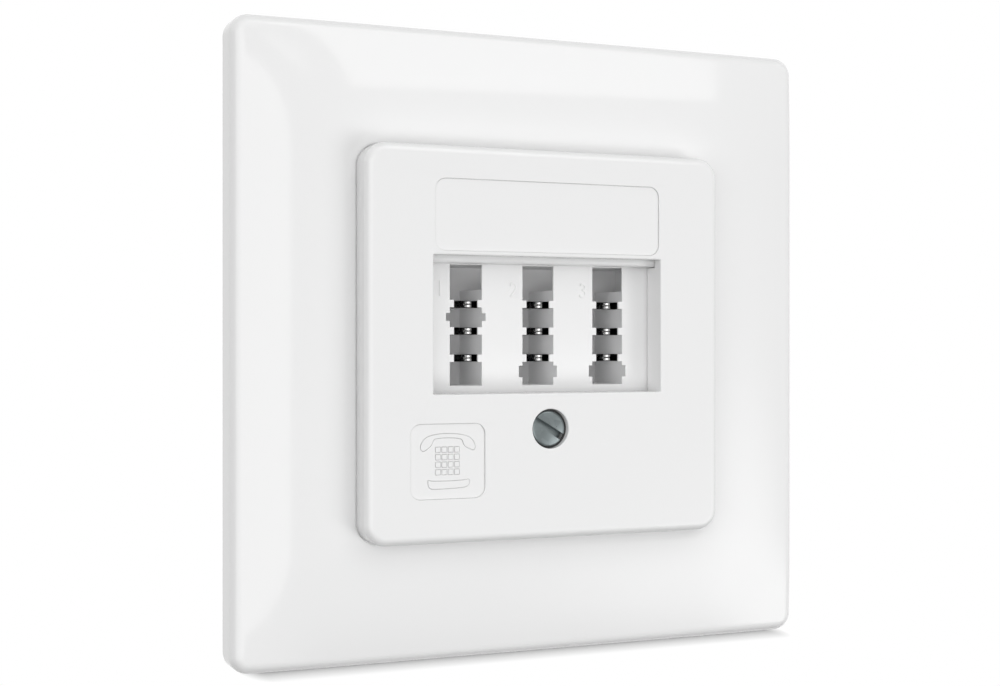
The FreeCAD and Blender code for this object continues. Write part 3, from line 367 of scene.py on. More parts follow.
def rolledEdge(points, outward, radius, steps=8, firstAngle=0.2, rounds=3, step=0.05):
    # A quarter round that leaves the wall upright and meets the dome along its own slope, found in a few rounds.
    angle = np.full(len(points), firstAngle)
    for _ in range(rounds):
        inner = points - outward * (radius * (1 - np.sin(angle)))[:, None]
        slope = (domeHeight(inner - outward * step) - domeHeight(inner + outward * step)) / (2 * step)
        angle = np.arctan(slope)
    centre = domeHeight(inner) - radius * np.cos(angle)
    rows = []
    for share in np.linspace(0, 1, steps + 1):
        turn = math.pi / 2 + (angle - math.pi / 2) * share
        flat = points - outward * (radius * (1 - np.sin(turn)))[:, None]
        rows.append(np.column_stack([flat, centre + radius * np.cos(turn)]))
    return np.array(rows), inner


def level(points, height):
    # One row of points at one height.
    return np.column_stack([points, np.full(len(points), height)])[None]


def makeCoverFrame():
    # One closed section carried round: wall, rolled edge, dome, lip, gap, ledge, collar and the dome's inside.
    c = coverFrame
    steps = c["cornerSteps"], c["sideSteps"]
    outer, outward = squareOutline(c["half"], c["corner"], *steps)
    opening, openingOut = squareOutline(c["opening"], c["openingCorner"], *steps)
    roll, domeStart = rolledEdge(outer, outward, c["edgeRound"])
    lipTop = c["edgeHeight"] + c["rise"]
    gapFloor = lipTop - c["lipDrop"] - c["gapDepth"]
    lip = [level(opening + openingOut * c["lipWidth"] * (1 - math.sin(a)), lipTop - c["lipDrop"] * (1 - math.cos(a)))
           for a in np.linspace(0, math.pi / 2, c["lipSteps"])]
    gap = opening - openingOut * c["gapReach"]
    ledge = opening - openingOut * c["ledgeWidth"]
    collar = opening + openingOut * c["collar"]
    inside = outer - outward * c["wall"]
    rows = np.concatenate([
        level(outer - outward * c["rearChamfer"], 0), level(outer, c["rearChamfer"]), roll,
        domeRows(domeStart, opening + openingOut * c["lipWidth"], c["domeSteps"])[1:-1], *lip,
        level(opening, gapFloor), level(gap, gapFloor), level(gap, c["ledgeFront"]), level(ledge, c["ledgeFront"]),
        level(ledge, c["ledgeRear"]), level(collar, c["ledgeRear"]),
        domeRows(collar, inside, c["insideSteps"], c["wall"]), level(inside, 0)])
    parts = [gridFaces(rows, closedRows=True)]
    reach = c["half"] - c["wall"] / 2
    top = c["edgeHeight"] - c["ribDrop"]
    for side in (-1, 1):
        for place in (-c["ribOffset"], c["ribOffset"]):
            near, far = sorted((side * (c["opening"] + c["collar"] / 2), side * reach))
            parts += block(near, far, place - c["ribHalf"], place + c["ribHalf"], c["ledgeRear"], top)
            parts += block(place - c["ribHalf"], place + c["ribHalf"], near, far, c["ledgeRear"], top)
    makePiece("coverFrameShell", parts, framePlastic, sharpAngle=40, node="cover_frame")


makeCoverFrame()
print("cover frame made")

# Centre plate: rounded edges, a window with walls on three sides, two shallow fields and the screw hole
centrePlate = {"half": 25.0, "corner": 2.8, "front": 9.8, "rear": 8.2, "skirt": 2.8, "wall": 1.6, "edgeRound": 1.05,
               "window": (-16.15, 16.15, -6.3, 11.2), "windowCorner": 0.12, "windowRound": 0.2,
               "windowWall": 1.3, "wallTop": 10.2, "wallRear": 6.15,
               "label": (-15.9, 15.9, 11.7, 20.8), "labelCorner": 1.4,
               "icon": (-19.25, -9.15, -19.4, -9.95), "iconCorner": 1.4, "fieldDepth": 0.2, "fieldRound": 0.05,
               "grooveDepth": 0.08, "grooveWidth": 0.06, "grooveFloor": 0.042,
               "screw": (0.0, -10.9), "screwHole": 2.55, "screwRound": 0.15, "seat": 7.6, "shankHole": 1.7,
               "boss": 3.5, "bossRear": 5.3}


def holeEdge(radius, front, steps=4):
    # A quarter round from the flat front down into a hole, whose wall is at offset 0.
    angle = np.linspace(0, math.pi / 2, steps + 1)
    return list(zip(radius * (1 - np.sin(angle)), front - radius * (1 - np.cos(angle))))


def sunkField(box, corner, front, depth, radius):
    # The rounded step round a shallow field with a fine groove at its foot, and the outline of its floor.
    c = centrePlate
    points, outward = roundedOutline(*box, corner, 8)
    foot = front - depth - c["grooveDepth"]
    step = sweepProfile((points, outward), holeEdge(radius, front, 3) + [
        (0, foot), (-c["grooveFloor"], foot), (-c["grooveWidth"], front - depth)])
    return (points, outward), step, points - outward * c["grooveWidth"]


def makeCentrePlate():
    # A cap with a rounded rim, its window, fields and screw hole, the boss, and the window's walls behind it.
    c = centrePlate
    edge = squareOutline(c["half"], c["corner"], 14)
    hollow = squareOutline(c["half"] - c["wall"], c["corner"] - c["wall"], 14)
    window = roundedOutline(*c["window"], c["windowCorner"], 4)
    screw, shank, boss = [circleOutline(*c["screw"], c[name]) for name in ("screwHole", "shankHole", "boss")]
    field = c["front"], c["fieldDepth"], c["fieldRound"]
    label, labelStep, labelFloor = sunkField(c["label"], c["labelCorner"], *field)
    icon, iconStep, iconFloor = sunkField(c["icon"], c["iconCorner"], *field)
    floor = c["front"] - c["fieldDepth"]
    relief, reliefHoles = makeTelephoneSign(floor)
    rounding = arc(c["edgeRound"], 0, c["front"], 9)
    holes = [window[0] + window[1] * c["windowRound"], screw[0] + screw[1] * c["screwRound"],
             label[0] + label[1] * c["fieldRound"], icon[0] + icon[1] * c["fieldRound"]]
    parts = [
        sweepProfile(edge, [(0, c["skirt"])] + rounding),
        fillFlat(edge[0] - edge[1] * c["edgeRound"], holes, c["front"]),
        sweepProfile(window, holeEdge(c["windowRound"], c["front"]) + [(0, c["rear"])]),
        labelStep, fillFlat(labelFloor, [], floor), iconStep, fillFlat(iconFloor, reliefHoles, floor),
        sweepProfile(screw, holeEdge(c["screwRound"], c["front"]) + [(0, c["seat"])]),
        fillFlat(screw[0], [shank[0]], c["seat"]), sweepProfile(shank, [(0, c["seat"]), (0, c["bossRear"])]),
        fillFlat(boss[0], [shank[0]], c["bossRear"], -1), sweepProfile(boss, [(0, c["bossRear"]), (0, c["rear"])]),
        fillFlat(hollow[0], [window[0], boss[0]], c["rear"], -1),
        sweepProfile(hollow, [(0, c["rear"]), (0, c["skirt"])]),
        fillFlat(edge[0], [hollow[0]], c["skirt"], -1)] + relief
    left, right, bottom, top = c["window"]
    wall = c["windowWall"]
    outline = np.array([(left - wall, bottom - wall), (right + wall, bottom - wall), (right + wall, c["wallTop"]),
                        (right, c["wallTop"]), (right, bottom), (left, bottom), (left, c["wallTop"]),
                        (left - wall, c["wallTop"])])
    parts += [sweepProfile((outline, np.zeros_like(outline)), [(0, c["wallRear"]), (0, c["rear"])]),
              fillFlat(outline, [], c["wallRear"], -1)]
    makePiece("centrePlateShell", parts, platePlastic, node="centre_plate")


# The sign on the icon field: a plain desk telephone, each form raised a little inside a fine engraved line
telephoneSign = {"middle": (-14.2, -14.65), "raise": 0.06, "line": 0.1, "lineFloor": 0.03, "lineDepth": 0.16,
                 "handset": [(-3.35, 1.25), (-2.95, 1.4), (-2.45, 1.75), (-2.05, 2.2), (-1.95, 2.6), (-1.7, 2.82),
                             (-0.9, 2.9), (0.2, 2.92), (1.3, 2.84), (1.85, 2.7), (2.05, 2.4), (2.15, 1.97),
                             (2.45, 1.72), (3.05, 1.43), (3.5, 1.27), (3.7, 1.5), (3.72, 1.9), (3.5, 2.45),
                             (3.05, 2.92), (2.3, 3.22), (1.35, 3.4), (0.3, 3.48), (-0.7, 3.47), (-1.75, 3.36),
                             (-2.55, 3.2), (-3.15, 2.82), (-3.55, 2.28), (-3.7, 1.78), (-3.6, 1.45)],
                 "tray": [(-2.7, -2.35), (-2.67, -2.8), (-2.57, -3.2), (-2.3, -3.42), (-1.8, -3.48), (-0.4, -3.46),
                          (1.5, -3.4), (2.5, -3.3), (2.83, -3.1), (2.95, -2.8), (2.98, -2.45), (2.78, -2.28),
                          (2.35, -2.4), (1.2, -2.46), (-0.4, -2.48), (-2.3, -2.43), (-2.55, -2.27)],
                 "keys": 4, "keyPitch": (0.85, 0.935), "keySize": (0.68, 0.7), "keyCorner": 0.1,
                 "keysStart": (-1.66, 1.8)}


def smoothLoop(corners, rounds=2):
    # Cuts every corner of a closed run at a quarter and three quarters of its sides, some rounds over.
    points = np.array(corners, float)
    for _ in range(rounds):
        after = np.roll(points, -1, axis=0)
        points = np.stack([points * 0.75 + after * 0.25, points * 0.25 + after * 0.75], 1).reshape(-1, 2)
    side = np.roll(points, -1, axis=0) - np.roll(points, 1, axis=0)
    outward = np.column_stack([side[:, 1], -side[:, 0]]) / np.linalg.norm(side, axis=1)[:, None]
    return points, outward


def makeTelephoneSign(floor):
    # Round each form runs a small groove with sloping sides, and its top lies a little above the field's floor.
    c = telephoneSign
    forms = [smoothLoop(c["handset"]), smoothLoop(c["tray"])]
    across, up = c["keySize"]
    for row in range(c["keys"]):
        for column in range(c["keys"]):
            left = c["keysStart"][0] + column * c["keyPitch"][0]
            top = c["keysStart"][1] - row * c["keyPitch"][1]
            forms.append(roundedOutline(left, left + across, top - up, top, c["keyCorner"], 3))
    parts, holes = [], []
    half, foot = c["line"] / 2, c["lineFloor"] / 2
    low, high = floor - c["lineDepth"], floor + c["raise"]
    for points, outward in forms:
        points = points + np.array(c["middle"])
        parts.append(sweepProfile((points, outward), [(half, floor), (foot, low), (-foot, low), (-half, high)]))
        parts.append(fillFlat(points - outward * half, [], high))
        holes.append(points + outward * half)
    return parts, holes


makeCentrePlate()
print("centre plate made")

# Jack cover: a cap behind the window with three slots, each with narrow necks and a coding ear on both sides
jackCover = {"front": 5.9, "edgeRound": 0.2, "halfWidth": 17.4, "bottom": -7.1, "top": 12.9, "skirt": 3.6,
             "wall": 0.8, "innerFront": 4.7, "slotRound": 0.05, "lip": 0.3, "slotCentres": (-10.2, 0.0, 10.2),
             "slotHalf": 2.23, "slotEnds": (-5.35, 10.2), "neckHalf": 1.65, "neckTall": 0.97,
             "necks": (-1.82, 1.7, 5.2), "earHalf": 2.75, "ears": ((3.48, 1.0), (-3.57, 1.5), (-3.57, 1.5)),
             "reliefHalf": 3.55, "reliefEdge": 0.7,
             "railHalf": 16.9, "rail": (10.3, 12.2), "railFront": 8.0, "railRound": 0.5, "railSeat": 0.1,
             "railSteps": 6}


def mitred(corners):
    # The outward direction at each corner of an anticlockwise run, long enough to keep both walls parallel.
    points = np.array(corners, float)
    side = np.roll(points, -1, axis=0) - points
    after = np.column_stack([side[:, 1], -side[:, 0]]) / np.linalg.norm(side, axis=1)[:, None]
    before = np.roll(after, 1, axis=0)
    return points, (before + after) / (1 + (before * after).sum(axis=1))[:, None]


def slotOutline(x, ear):
    # Half widths change at the necks and at the ear: up the right side, then down the left one.
    c = jackCover
    marks = [(z - c["neckTall"] / 2, z + c["neckTall"] / 2, c["neckHalf"]) for z in c["necks"]]
    marks.append((ear[0] - ear[1] / 2, ear[0] + ear[1] / 2, c["earHalf"]))
    side, z = [(c["slotHalf"], c["slotEnds"][0])], c["slotEnds"][0]
    for low, high, half in sorted(marks):
        side += [(c["slotHalf"], low), (half, low), (half, high), (c["slotHalf"], high)]
    side.append((c["slotHalf"], c["slotEnds"][1]))
    side = np.array(side)
    return mitred(np.concatenate([side, (side * (-1, 1))[::-1]]) + (x, 0))


def rectangle(left, right, bottom, top):
    # Four sharp corners, anticlockwise from the lower right.
    return mitred([(right, bottom), (right, top), (left, top), (left, bottom)])


def makeJackCover():
    # A shell with a rounded rim, slots whose lips are thin against the reliefs behind them, and the rail above.
    c = jackCover
    edge = rectangle(-c["halfWidth"], c["halfWidth"], c["bottom"], c["top"])
    inside = rectangle(-c["halfWidth"] + c["wall"], c["halfWidth"] - c["wall"],
                       c["bottom"] + c["wall"], c["top"] - c["wall"])
    slots = [slotOutline(x, ear) for x, ear in zip(c["slotCentres"], c["ears"])]
    reliefs = [rectangle(x - c["reliefHalf"], x + c["reliefHalf"], c["slotEnds"][0] - c["reliefEdge"],
                         c["slotEnds"][1] + c["reliefEdge"]) for x in c["slotCentres"]]
    behind = c["front"] - c["lip"]
    parts = [sweepProfile(edge, [(0, c["skirt"])] + arc(c["edgeRound"], 0, c["front"], 4)),
             fillFlat(edge[0] - edge[1] * c["edgeRound"], [p + d * c["slotRound"] for p, d in slots], c["front"]),
             fillFlat(edge[0], [inside[0]], c["skirt"], -1),
             sweepProfile(inside, [(0, c["innerFront"]), (0, c["skirt"])]),
             fillFlat(inside[0], [p for p, d in reliefs], c["innerFront"], -1)]
    for slot, relief in zip(slots, reliefs):
        parts += [sweepProfile(slot, holeEdge(c["slotRound"], c["front"], 3) + [(0, behind)]),
                  fillFlat(relief[0], [slot[0]], behind, -1),
                  sweepProfile(relief, [(0, behind), (0, c["innerFront"])])]
    bottom, top = c["rail"]
    front, r, seat = c["railFront"], c["railRound"], c["front"] - c["railSeat"]
    turn = np.linspace(0, math.pi / 2, c["railSteps"])
    rounding = list(zip(bottom + r - r * np.sin(turn), front - r + r * np.cos(turn)))
    section = [(top, seat), (top, front)] + rounding + [(bottom, seat)]
    ends = [np.column_stack([np.full(len(section), x), section]) for x in (c["railHalf"], -c["railHalf"])]
    parts += [gridFaces(np.array(ends)), (ends[0], [list(range(len(section)))[::-1]]),
              (ends[1], [list(range(len(section)))])]
    makePiece("jackCoverShell", parts, jackPlastic, node="jack_cover")


makeJackCover()
print("jack cover made")

# Contact carrier: rims behind the slots, cavities with side chambers at the necks and one open space above them
carrierBlock = {"half": 16.5, "bottom": -6.2, "top": 12.0, "front": 4.7, "rear": -4.6, "rimFront": 5.55,
                "rimWall": 0.6, "cavityHalf": 2.85, "chamberHalf": 4.9, "cavityFloor": -3.3, "upperBottom": 7.1,
                "upperHalf": 16.2, "passageHalf": 2.55, "paintedShadeGap": 0.02, "paintedShadeReach": (-3.25, 2.2)}


def makeContactCarrier():
    # The hollow's outline goes up and down each jack's cavity with its chambers, then round the upper space. A
    # near-black sheet in a light shell stands in each chamber as painted shade, so that the necks look deep and dark.
    c, j = carrierBlock, jackCover
    bottom, top = j["slotEnds"]
    tall = j["neckTall"] / 2
    side, stretches, start = [(c["cavityHalf"], bottom)], [], bottom
    for z in j["necks"]:
        side += [(c["cavityHalf"], z - tall), (c["chamberHalf"], z - tall),
                 (c["chamberHalf"], z + tall), (c["cavityHalf"], z + tall)]
        stretches.append((start, z - tall))
        start = z + tall
    side = np.array(side + [(c["cavityHalf"], c["upperBottom"])])
    stretches.append((start, top))
    run = [np.concatenate([(side * (-1, 1))[::-1], side]) + (x, 0) for x in j["slotCentres"]]
    reach = c["upperHalf"]
    run.append([(reach, c["upperBottom"]), (reach, top), (-reach, top), (-reach, c["upperBottom"])])
    hollow = np.concatenate(run)
    outer = rectangle(-c["half"], c["half"], c["bottom"], c["top"])
    passages = [rectangle(x - c["passageHalf"], x + c["passageHalf"], z - tall, z + tall)
                for x in j["slotCentres"] for z in j["necks"]]
    inner = [p for p, d in passages]
    parts = [sweepProfile(outer, [(0, c["rear"]), (0, c["front"])]), fillFlat(outer[0], [hollow], c["front"]),
             sweepProfile((hollow, np.zeros_like(hollow)), [(0, c["front"]), (0, c["cavityFloor"])]),
             fillFlat(hollow, inner, c["cavityFloor"]), fillFlat(outer[0], inner, c["rear"], -1)]
    parts += [sweepProfile(p, [(0, c["cavityFloor"]), (0, c["rear"])]) for p in passages]
    for x in j["slotCentres"]:
        near, far = c["cavityHalf"], c["cavityHalf"] + c["rimWall"]
        for low, high in stretches:
            parts += block(x + near, x + far, low, high, c["front"], c["rimFront"])
            parts += block(x - far, x - near, low, high, c["front"], c["rimFront"])
        parts += block(x - far, x + far, bottom - c["rimWall"], bottom, c["front"], c["rimFront"])
        parts += block(x - far, x + far, top, top + c["rimWall"], c["front"], c["rimFront"])
    # Painted shade: near-black sheets line each chamber, inside a light shell of the carrier's plastic
    paintedShades = []
    low, high = c["paintedShadeReach"]
    for x in j["slotCentres"]:
        for z in j["necks"]:
            shell, paintedShade = [rectangle(x - c["chamberHalf"] + gap, x + c["chamberHalf"] - gap,
                                      z - tall + gap, z + tall - gap) for gap in (c["paintedShadeGap"] / 2, c["paintedShadeGap"])]
            parts.append(sweepProfile(shell, [(0, low), (0, high)]))
            paintedShades += [sweepProfile(paintedShade, [(0, high), (0, low)]), fillFlat(paintedShade[0], [], low)]
    makePiece("contactCarrierBlock", parts, carrierPlastic, node="contact_carrier")
    makePiece("chamberPaintedShade", paintedShades, paintedShadePlastic)


makeContactCarrier()
print("contact carrier made")

# Contact springs: a strip that stands on the board, leans inwards and ends in two curled fingers
contactSpring = {"foot": -6.2, "tail": 2.3, "bend": -2.3, "bendRadius": 2.0, "curlRadius": 0.6, "gap": 2.35,
                 "touch": 2.0, "tipAngle": 80.0, "thickness": 0.3, "width": 0.8, "fingerWidth": 0.36, "split": 0.6,
                 "bendSteps": 8, "armSteps": 6, "curlSteps": 16,
                 "sectionPoints": 16, "stripRound": 0.4, "fingerRound": 0.5}


def springLine():
    # Upright foot, a quarter bend, a straight arm that touches both arcs, and the curl: rows of (offset, height).
    c = contactSpring
    r, s = c["bendRadius"], c["curlRadius"]
    knee = np.array([c["tail"] - r, c["bend"]])
    curl = np.array([(c["gap"] + c["thickness"]) / 2 + s, c["touch"]])
    across, along = curl - knee
    lean = math.atan2(along, across) - math.acos((r + s) / math.hypot(across, along))
    turn = np.linspace(0, lean, c["bendSteps"])[:, None]
    back = np.linspace(math.pi + lean, math.radians(c["tipAngle"]), c["curlSteps"])[:, None]
    bent = knee + r * np.concatenate([np.cos(turn), np.sin(turn)], 1)
    curled = curl + s * np.concatenate([np.cos(back), np.sin(back)], 1)
    share = np.linspace(0, 1, c["armSteps"])[1:-1, None]
    return np.concatenate([[(c["tail"], c["foot"])], bent, bent[-1] * (1 - share) + curled[0] * share, curled])


def carryStrip(line, x, z, turn, halfThick, halfTall, roundness):
    # A closed strip along a line: its section is a rounded oblong across the strip and along z.
    along = np.gradient(line, axis=0)
    along /= np.linalg.norm(along, axis=1)[:, None]
    across = np.column_stack([-along[:, 1], along[:, 0]])
    count = contactSpring["sectionPoints"]
    angle = np.arange(count) * 2 * math.pi / count
    u = halfThick * np.sign(np.cos(angle)) * np.abs(np.cos(angle)) ** roundness
    v = halfTall * np.sign(np.sin(angle)) * np.abs(np.sin(angle)) ** roundness
    flat = line[:, None, :] + across[:, None, :] * u[None, :, None]
    rows = np.stack([x + turn * flat[..., 0], z + np.broadcast_to(v, flat.shape[:2]), flat[..., 1]], -1)
    return [gridFaces(rows), (rows[0], [list(range(count))]), (rows[-1], [list(range(count))])]


def makeContactSprings():
    # The whole strip up to the split, then two narrow fingers, each flush with an edge of the strip.
    c = contactSpring
    line = springLine()
    middle = int(len(line) * c["split"])
    for node in [n for n in nodes if n.startswith("contact_spring")]:
        jack, neck, side = node.split("_")[2:]
        x = dict(zip(("left", "middle", "right"), jackCover["slotCentres"]))[jack]
        z = dict(zip(("low", "middle", "high"), jackCover["necks"]))[neck]
        turn = -1 if side == "a" else 1
        thick, wide, narrow = c["thickness"] / 2, c["width"] / 2, c["fingerWidth"] / 2
        parts = carryStrip(line[:middle], x, z, turn, thick, wide, c["stripRound"])
        for shift in (-1, 1):
            place = z + shift * (wide - narrow)
            parts += carryStrip(line[middle - 1:], x, place, turn, thick, narrow, c["fingerRound"])
        makePiece(node + "_fingers", parts, springMetal, sharpAngle=50, node=node, turnOut=True)


makeContactSprings()
print("contact springs made")

# Centre screw: a slotted head with a slight dome, its threaded shank, and a near-black ring under the head's rim that
# paints the shade in the gap round the head
centreScrew = {"radius": 2.26, "top": 9.3, "seat": 7.6, "dome": 0.16, "edge": 0.1, "slotHalf": 0.45,
               "slotDepth": 1.2, "angle": -31.0, "shank": 1.45, "tip": -2.4, "pitch": 0.5, "threadDepth": 0.18,
               "threadTop": 5.0, "threadFade": 0.6, "threadSteps": 8, "shankPoints": 48,
               "faceSteps": 40, "domeSteps": 9, "rimSteps": 4, "gapShadeRing": (2.28, 2.53, 8.75, 8.98)}


def headHalf(side):
    # One half of the head beside the slot: a wall from the slot's floor, the domed face, and the rounded rim.
    c = centreScrew
    r, w, e = c["radius"], c["slotHalf"], c["edge"]
    start = math.asin(w / r)
    turn = np.linspace(start, math.pi - start, c["faceSteps"])
    rim = r * np.stack([np.cos(turn), np.sin(turn)], 1)
    face = rim * (1 - e / r)
    chord = np.column_stack([rim[:, 0], np.full(len(turn), w)])
    face[:, 1] = np.maximum(face[:, 1], w)
    share = np.linspace(0, 1, c["domeSteps"])[:, None, None]
    flat = chord * (1 - share) + face * share
    dome = c["top"] - c["dome"] * (flat ** 2).sum(axis=2) / r ** 2
    low = c["top"] - c["slotDepth"]
    rows = [np.column_stack([chord, np.full(len(turn), low)])]
    rows += list(np.concatenate([flat, dome[..., None]], axis=2))
    edge = c["top"] - c["dome"] - e
    rows += [np.column_stack([rim * (1 - e / r * (1 - math.sin(a))), np.full(len(turn), edge + e * math.cos(a))])
             for a in np.linspace(0, math.pi / 2, c["rimSteps"] + 1)[1:]]
    rows.append(np.column_stack([rim, np.full(len(turn), low)]))
    points, faces = gridFaces(np.array(rows), closedColumns=False)
    angle = math.radians(c["angle"]) + (0 if side > 0 else math.pi)
    spun = points[:, :2] @ np.array([[math.cos(angle), math.sin(angle)], [-math.sin(angle), math.cos(angle)]])
    return np.column_stack([spun + centrePlate["screw"], points[:, 2]]), faces


def makeCentreScrew():
    # The thread's radius is a triangle wave along the shank, which turns once for each pitch and fades at the tip.
    c = centreScrew
    x, z = centrePlate["screw"]
    count = c["shankPoints"]
    head = circleOutline(x, z, c["radius"])
    low = c["top"] - c["slotDepth"]
    height = np.arange(c["tip"], c["threadTop"], c["pitch"] / c["threadSteps"])
    angle = np.linspace(0, 2 * math.pi, count + 1)[:-1]
    wave = (height[:, None] / c["pitch"] - angle / (2 * math.pi)) % 1
    fade = np.clip((height - c["tip"]) / c["threadFade"], 0, 1)[:, None]
    radius = c["shank"] - c["threadDepth"] * (1 - fade * (1 - np.abs(2 * wave - 1)))
    thread = np.stack([x + radius * np.cos(angle), z + radius * np.sin(angle),
                       np.broadcast_to(height[:, None], radius.shape)], -1)
    neck = circleOutline(x, z, c["shank"], count)
    parts = [headHalf(1), headHalf(-1), sweepProfile(head, [(0, c["seat"]), (0, low)]), fillFlat(head[0], [], low),
             fillFlat(head[0], [neck[0]], c["seat"], -1), sweepProfile(neck, [(0, height[-1]), (0, c["seat"])]),
             gridFaces(thread), (thread[0], [list(range(count))[::-1]])]
    makePiece("slottedScrew", parts, screwZinc, sharpAngle=40, node="centre_screw")
    # Painted shade: a near-black ring under the head's rim fills the gap between the head and the hole
    inner, outer, low, high = c["gapShadeRing"]
    ring = circleOutline(x, z, inner)
    section = [(outer - inner, low), (outer - inner, high), (0, high), (0, low)]
    makePiece("screwGapShade", [sweepProfile(ring, section + section[:1])], paintedShadePlastic)


makeCentreScrew()
print("centre screw made")

# The other CAD nodes keep their own shape: each has a finish, its slot, an edge rounding and whether faces are joined
finishes = {
    "centre_insert": (brass, "insert_brass", 0.1, True),
    "base_housing": (housingPlastic, "housing_plastic", 0.0, False),
    "rear_cover": (housingPlastic, "housing_plastic", 0.0, False),
    "circuit_board": (boardLaminate, "board_laminate", 0.0, False),
    "support_ring": (ringSteel, "ring_steel", 0.0, False),
    "terminal_screws": (screwZinc, "terminal_screw_steel", 0.08, True),
    "ring_rivets": (rivetMetal, "rivet_metal", 0.15, True)}
for node in nodes:
    if node.startswith("terminal_clamp"):
        finishes[node] = (brass, "clamp_brass", 0.06, True)
for node, (material, slot, bevel, joinFaces) in finishes.items():
    refinedCopy(node, material, bevel, joinFaces)
print("inner parts dressed")

# Plain numbers beside the slots, raised a little from the cap
slotNumbers = {"size": 2.75, "height": 0.11, "edge": 0.02, "front": 5.9, "low": 6.15,
               "places": (("1", -13.75), ("2", -3.45), ("3", 6.6))}


def makeSlotNumbers():
    # Flat text turned to face the room: (x, y) of the text goes to (x, z) of the object.
    c = slotNumbers
    for text, x in c["places"]:
        curve = bpy.data.curves.new("number" + text, "FONT")
        curve.body = text
        curve.size = c["size"]
        curve.align_x = "CENTER"
        curve.extrude = c["height"]
        curve.bevel_depth = c["edge"]
        carrier = addObject("numberCurve" + text, curve)
        bpy.context.view_layer.update()
        shape = bpy.data.meshes.new_from_object(carrier.evaluated_get(bpy.context.evaluated_depsgraph_get()))
        bpy.data.objects.remove(carrier)
        place = np.empty(len(shape.vertices) * 3)
        shape.vertices.foreach_get("co", place)
        place = place.reshape(-1, 3)
        seen = np.column_stack([place[:, 0] + x, -(c["front"] + place[:, 2]), place[:, 1] + c["low"]]) * mm
        shape.vertices.foreach_set("co", seen.ravel())
        shape.update()
        finishPiece("slotNumber" + text, shape, jackPlastic)


makeSlotNumbers()
print("numbers made")

# Camera
view = {"place": (-87.495, -193.56, 0.0), "turn": -23.617, "lens": 56.912, "shiftY": 0.0011, "nearest": 1.0}
cameraData = bpy.data.cameras.new("camera")
cameraData.lens = view["lens"]
cameraData.shift_y = view["shiftY"]
cameraData.clip_start = view["nearest"] * mm
camera = addObject("camera", cameraData)
camera.location = [v * mm for v in view["place"]]
camera.rotation_euler = (math.pi / 2, 0, math.radians(view["turn"]))
bpy.context.scene.camera = camera

# Studio: white floor and backdrop, softboxes at the left and above, a low key at the right and a soft glow beside it.
# A softbox spans the angles left, right, low and high as seen from the socket, at a brightness. A fade is a range of
# the y or z of a direction.
studio = {"floor": -40.5, "floorHalf": 1500.0, "floorTone": 0.5, "floorRoughness": 0.9,
          "footHalf": 36.0, "footMiddle": 4.0, "footDepth": 6.0, "shadowEdge": 7.5, "sideFade": 2.5, "rearFade": 6.0,
          "skyLight": 0.47, "behind": 1.6, "behindFade": (-0.25, 0.35), "below": 0.0, "belowFade": (-0.62, -0.38),
          "backdropFade": (0.1, 0.4), "distance": 2.2,
          "softboxes": {"leftSoftbox": (-63, 0.5, -24, 24, 1.45), "topSoftbox": (15, 39, 22, 56, 1.5),
                        "upperLeftSoftbox": (-40, 14, 24, 56, 0.6)},
          "key": {"place": (620, -740, -450), "width": 520, "tall": 300, "strength": 4.6},
          "glow": {"azimuth": 44, "elevation": -17, "inner": 3, "outer": 19, "strength": 2.0}}


def seenDirection(azimuth, elevation):
    # Azimuth turns right from straight ahead of the socket's front, elevation goes up from level.
    a, e = math.radians(azimuth), math.radians(elevation)
    return Vector((math.sin(a) * math.cos(e), -math.cos(a) * math.cos(e), math.sin(e)))


def seeingRays(tree, backdrop=1.0):
    # 1 for the camera's rays, and the backdrop's share for rays that are mirrored or let through.
    path = addNode(tree, "ShaderNodeLightPath").outputs
    mirrored = addMath(tree, "MAXIMUM", path["Is Glossy Ray"], path["Is Transmission Ray"])
    return addMath(tree, "MAXIMUM", path["Is Camera Ray"], addMath(tree, "MULTIPLY", mirrored, backdrop))


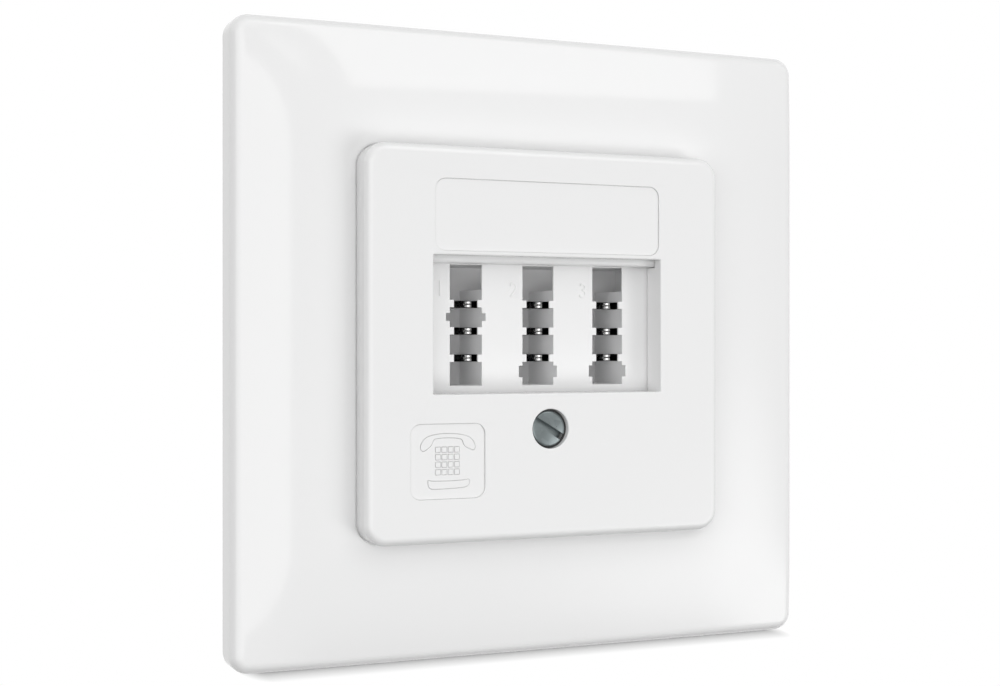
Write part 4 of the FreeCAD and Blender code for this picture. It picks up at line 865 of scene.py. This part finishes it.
def makeFloor():
    # White beyond the object's shadow: the distance from its foot over the width of the shadow's edge, where the
    # distance counts more at the sides and behind. Nearer the foot the white fades into the half-tone floor, whose
    # real shadow shows there, so the fade itself is a painted shadow round the foot.
    c = studio
    size = c["floorHalf"]
    mesh = bpy.data.meshes.new("floor")
    mesh.from_pydata([(x * mm, y * mm, c["floor"] * mm) for x, y in
                      ((-size, -size), (size, -size), (size, size), (-size, size))], [], [(0, 1, 2, 3)])
    floor = addObject("floor", mesh)
    material = bpy.data.materials.new("floorWhite")
    material.use_nodes = True
    tree = material.node_tree
    surface = tree.nodes["Principled BSDF"]
    surface.inputs["Base Color"].default_value = grey(c["floorTone"])
    surface.inputs["Roughness"].default_value = c["floorRoughness"]
    surface.inputs["Specular IOR Level"].default_value = 0.0
    place = addNode(tree, "ShaderNodeTexCoord").outputs["Object"]
    away = place
    for operation, term in (("ADD", (0.0, -c["footMiddle"] * mm, -c["floor"] * mm)), ("ABSOLUTE", (0.0, 0.0, 0.0)),
                            ("SUBTRACT", (c["footHalf"] * mm, c["footDepth"] * mm, 0.0)),
                            ("MAXIMUM", (0.0, 0.0, 0.0)), ("MULTIPLY", (c["sideFade"], 1.0, 1.0))):
        away = addNode(tree, "ShaderNodeVectorMath", {0: away, 1: term}, operation=operation).outputs[0]
    length = addNode(tree, "ShaderNodeVectorMath", {0: away}, operation="LENGTH").outputs["Value"]
    rear = addMath(tree, "MULTIPLY", addNode(tree, "ShaderNodeSeparateXYZ", {0: place}).outputs["Y"], c["rearFade"])
    # Painted shadow: the white fades out towards the foot, partly real shadow and partly the floor's half tone
    white = addRange(tree, addMath(tree, "MAXIMUM", length, rear), (0.0, c["shadowEdge"] * mm))
    shown = addMath(tree, "MULTIPLY", white, seeingRays(tree))
    glow = addNode(tree, "ShaderNodeEmission", {"Color": grey(1.0)})
    both = addNode(tree, "ShaderNodeMixShader", {0: shown, 1: surface.outputs[0], 2: glow.outputs[0]})
    tree.links.new(both.outputs[0], tree.nodes["Material Output"].inputs["Surface"])
    mesh.materials.append(material)
    floor.visible_glossy = False
    floor.visible_diffuse = False
    floor.visible_shadow = False


def makeLamp(name, width, tall, strength, place):
    # An area lamp that faces the socket; power = strength * pi * area gives its face that brightness.
    lamp = bpy.data.lights.new(name, "AREA")
    lamp.shape = "RECTANGLE"
    lamp.size = width
    lamp.size_y = tall
    lamp.energy = strength * math.pi * width * tall
    holder = addObject(name, lamp)
    holder.location = place
    holder.rotation_euler = place.to_track_quat("Z", "Y").to_euler()
    return holder


def makeSoftbox(name, left, right, low, high, strength):
    # Width and height are those of the angles at the softboxes' distance: twice the distance * tan(half angle).
    twice = 2 * studio["distance"]
    width = twice * math.tan(math.radians(right - left) / 2) * math.cos(math.radians(low + high) / 2)
    tall = twice * math.tan(math.radians(high - low) / 2)
    middle = seenDirection((left + right) / 2, (low + high) / 2)
    makeLamp(name, width, tall, strength, middle * studio["distance"])


def makeKey():
    # A low lamp at the right, whose light falls across the front and leaves soft shadows at the left.
    c = studio["key"]
    key = makeLamp("lowKey", c["width"] * mm, c["tall"] * mm, c["strength"], Vector(c["place"]) * mm)
    key.visible_glossy = False


def makeSky():
    # White to the camera and, behind the socket, to what mirrors it. As a light it is sky light * depth * height +
    # glow, brighter behind the socket and dark below it.
    c, g = studio, studio["glow"]
    world = bpy.data.worlds.new("studioSky")
    bpy.context.scene.world = world
    world.use_nodes = True
    tree = world.node_tree
    tree.nodes.clear()
    place = addNode(tree, "ShaderNodeTexCoord").outputs["Generated"]
    axes = addNode(tree, "ShaderNodeSeparateXYZ", {0: place}).outputs
    soft = {"interpolation_type": "SMOOTHSTEP"}
    depth = addRange(tree, axes["Y"], c["behindFade"], (1.0, c["behind"]), **soft)
    height = addRange(tree, axes["Z"], c["belowFade"], (c["below"], 1.0), **soft)
    towards = seenDirection(g["azimuth"], g["elevation"])
    near = addNode(tree, "ShaderNodeVectorMath", {0: place, 1: towards}, operation="DOT_PRODUCT").outputs["Value"]
    ends = [math.cos(math.radians(g[end])) for end in ("outer", "inner")]
    glow = addRange(tree, near, ends, (0.0, g["strength"]), **soft)
    total = addMath(tree, "MULTIPLY_ADD", addMath(tree, "MULTIPLY", depth, height), c["skyLight"], glow)
    seen = seeingRays(tree, addRange(tree, axes["Y"], c["backdropFade"], **soft))
    shown = addNode(tree, "ShaderNodeMix", {0: seen, 2: total, 3: 1.0}, data_type="FLOAT")
    background = addNode(tree, "ShaderNodeBackground", {"Color": grey(1.0), "Strength": shown.outputs[0]})
    addNode(tree, "ShaderNodeOutputWorld", {"Surface": background.outputs[0]})


makeFloor()
makeSky()
for name, values in studio["softboxes"].items():
    makeSoftbox(name, *values)
makeKey()

bpy.context.scene.view_settings.view_transform = "Standard"
print("studio ready")
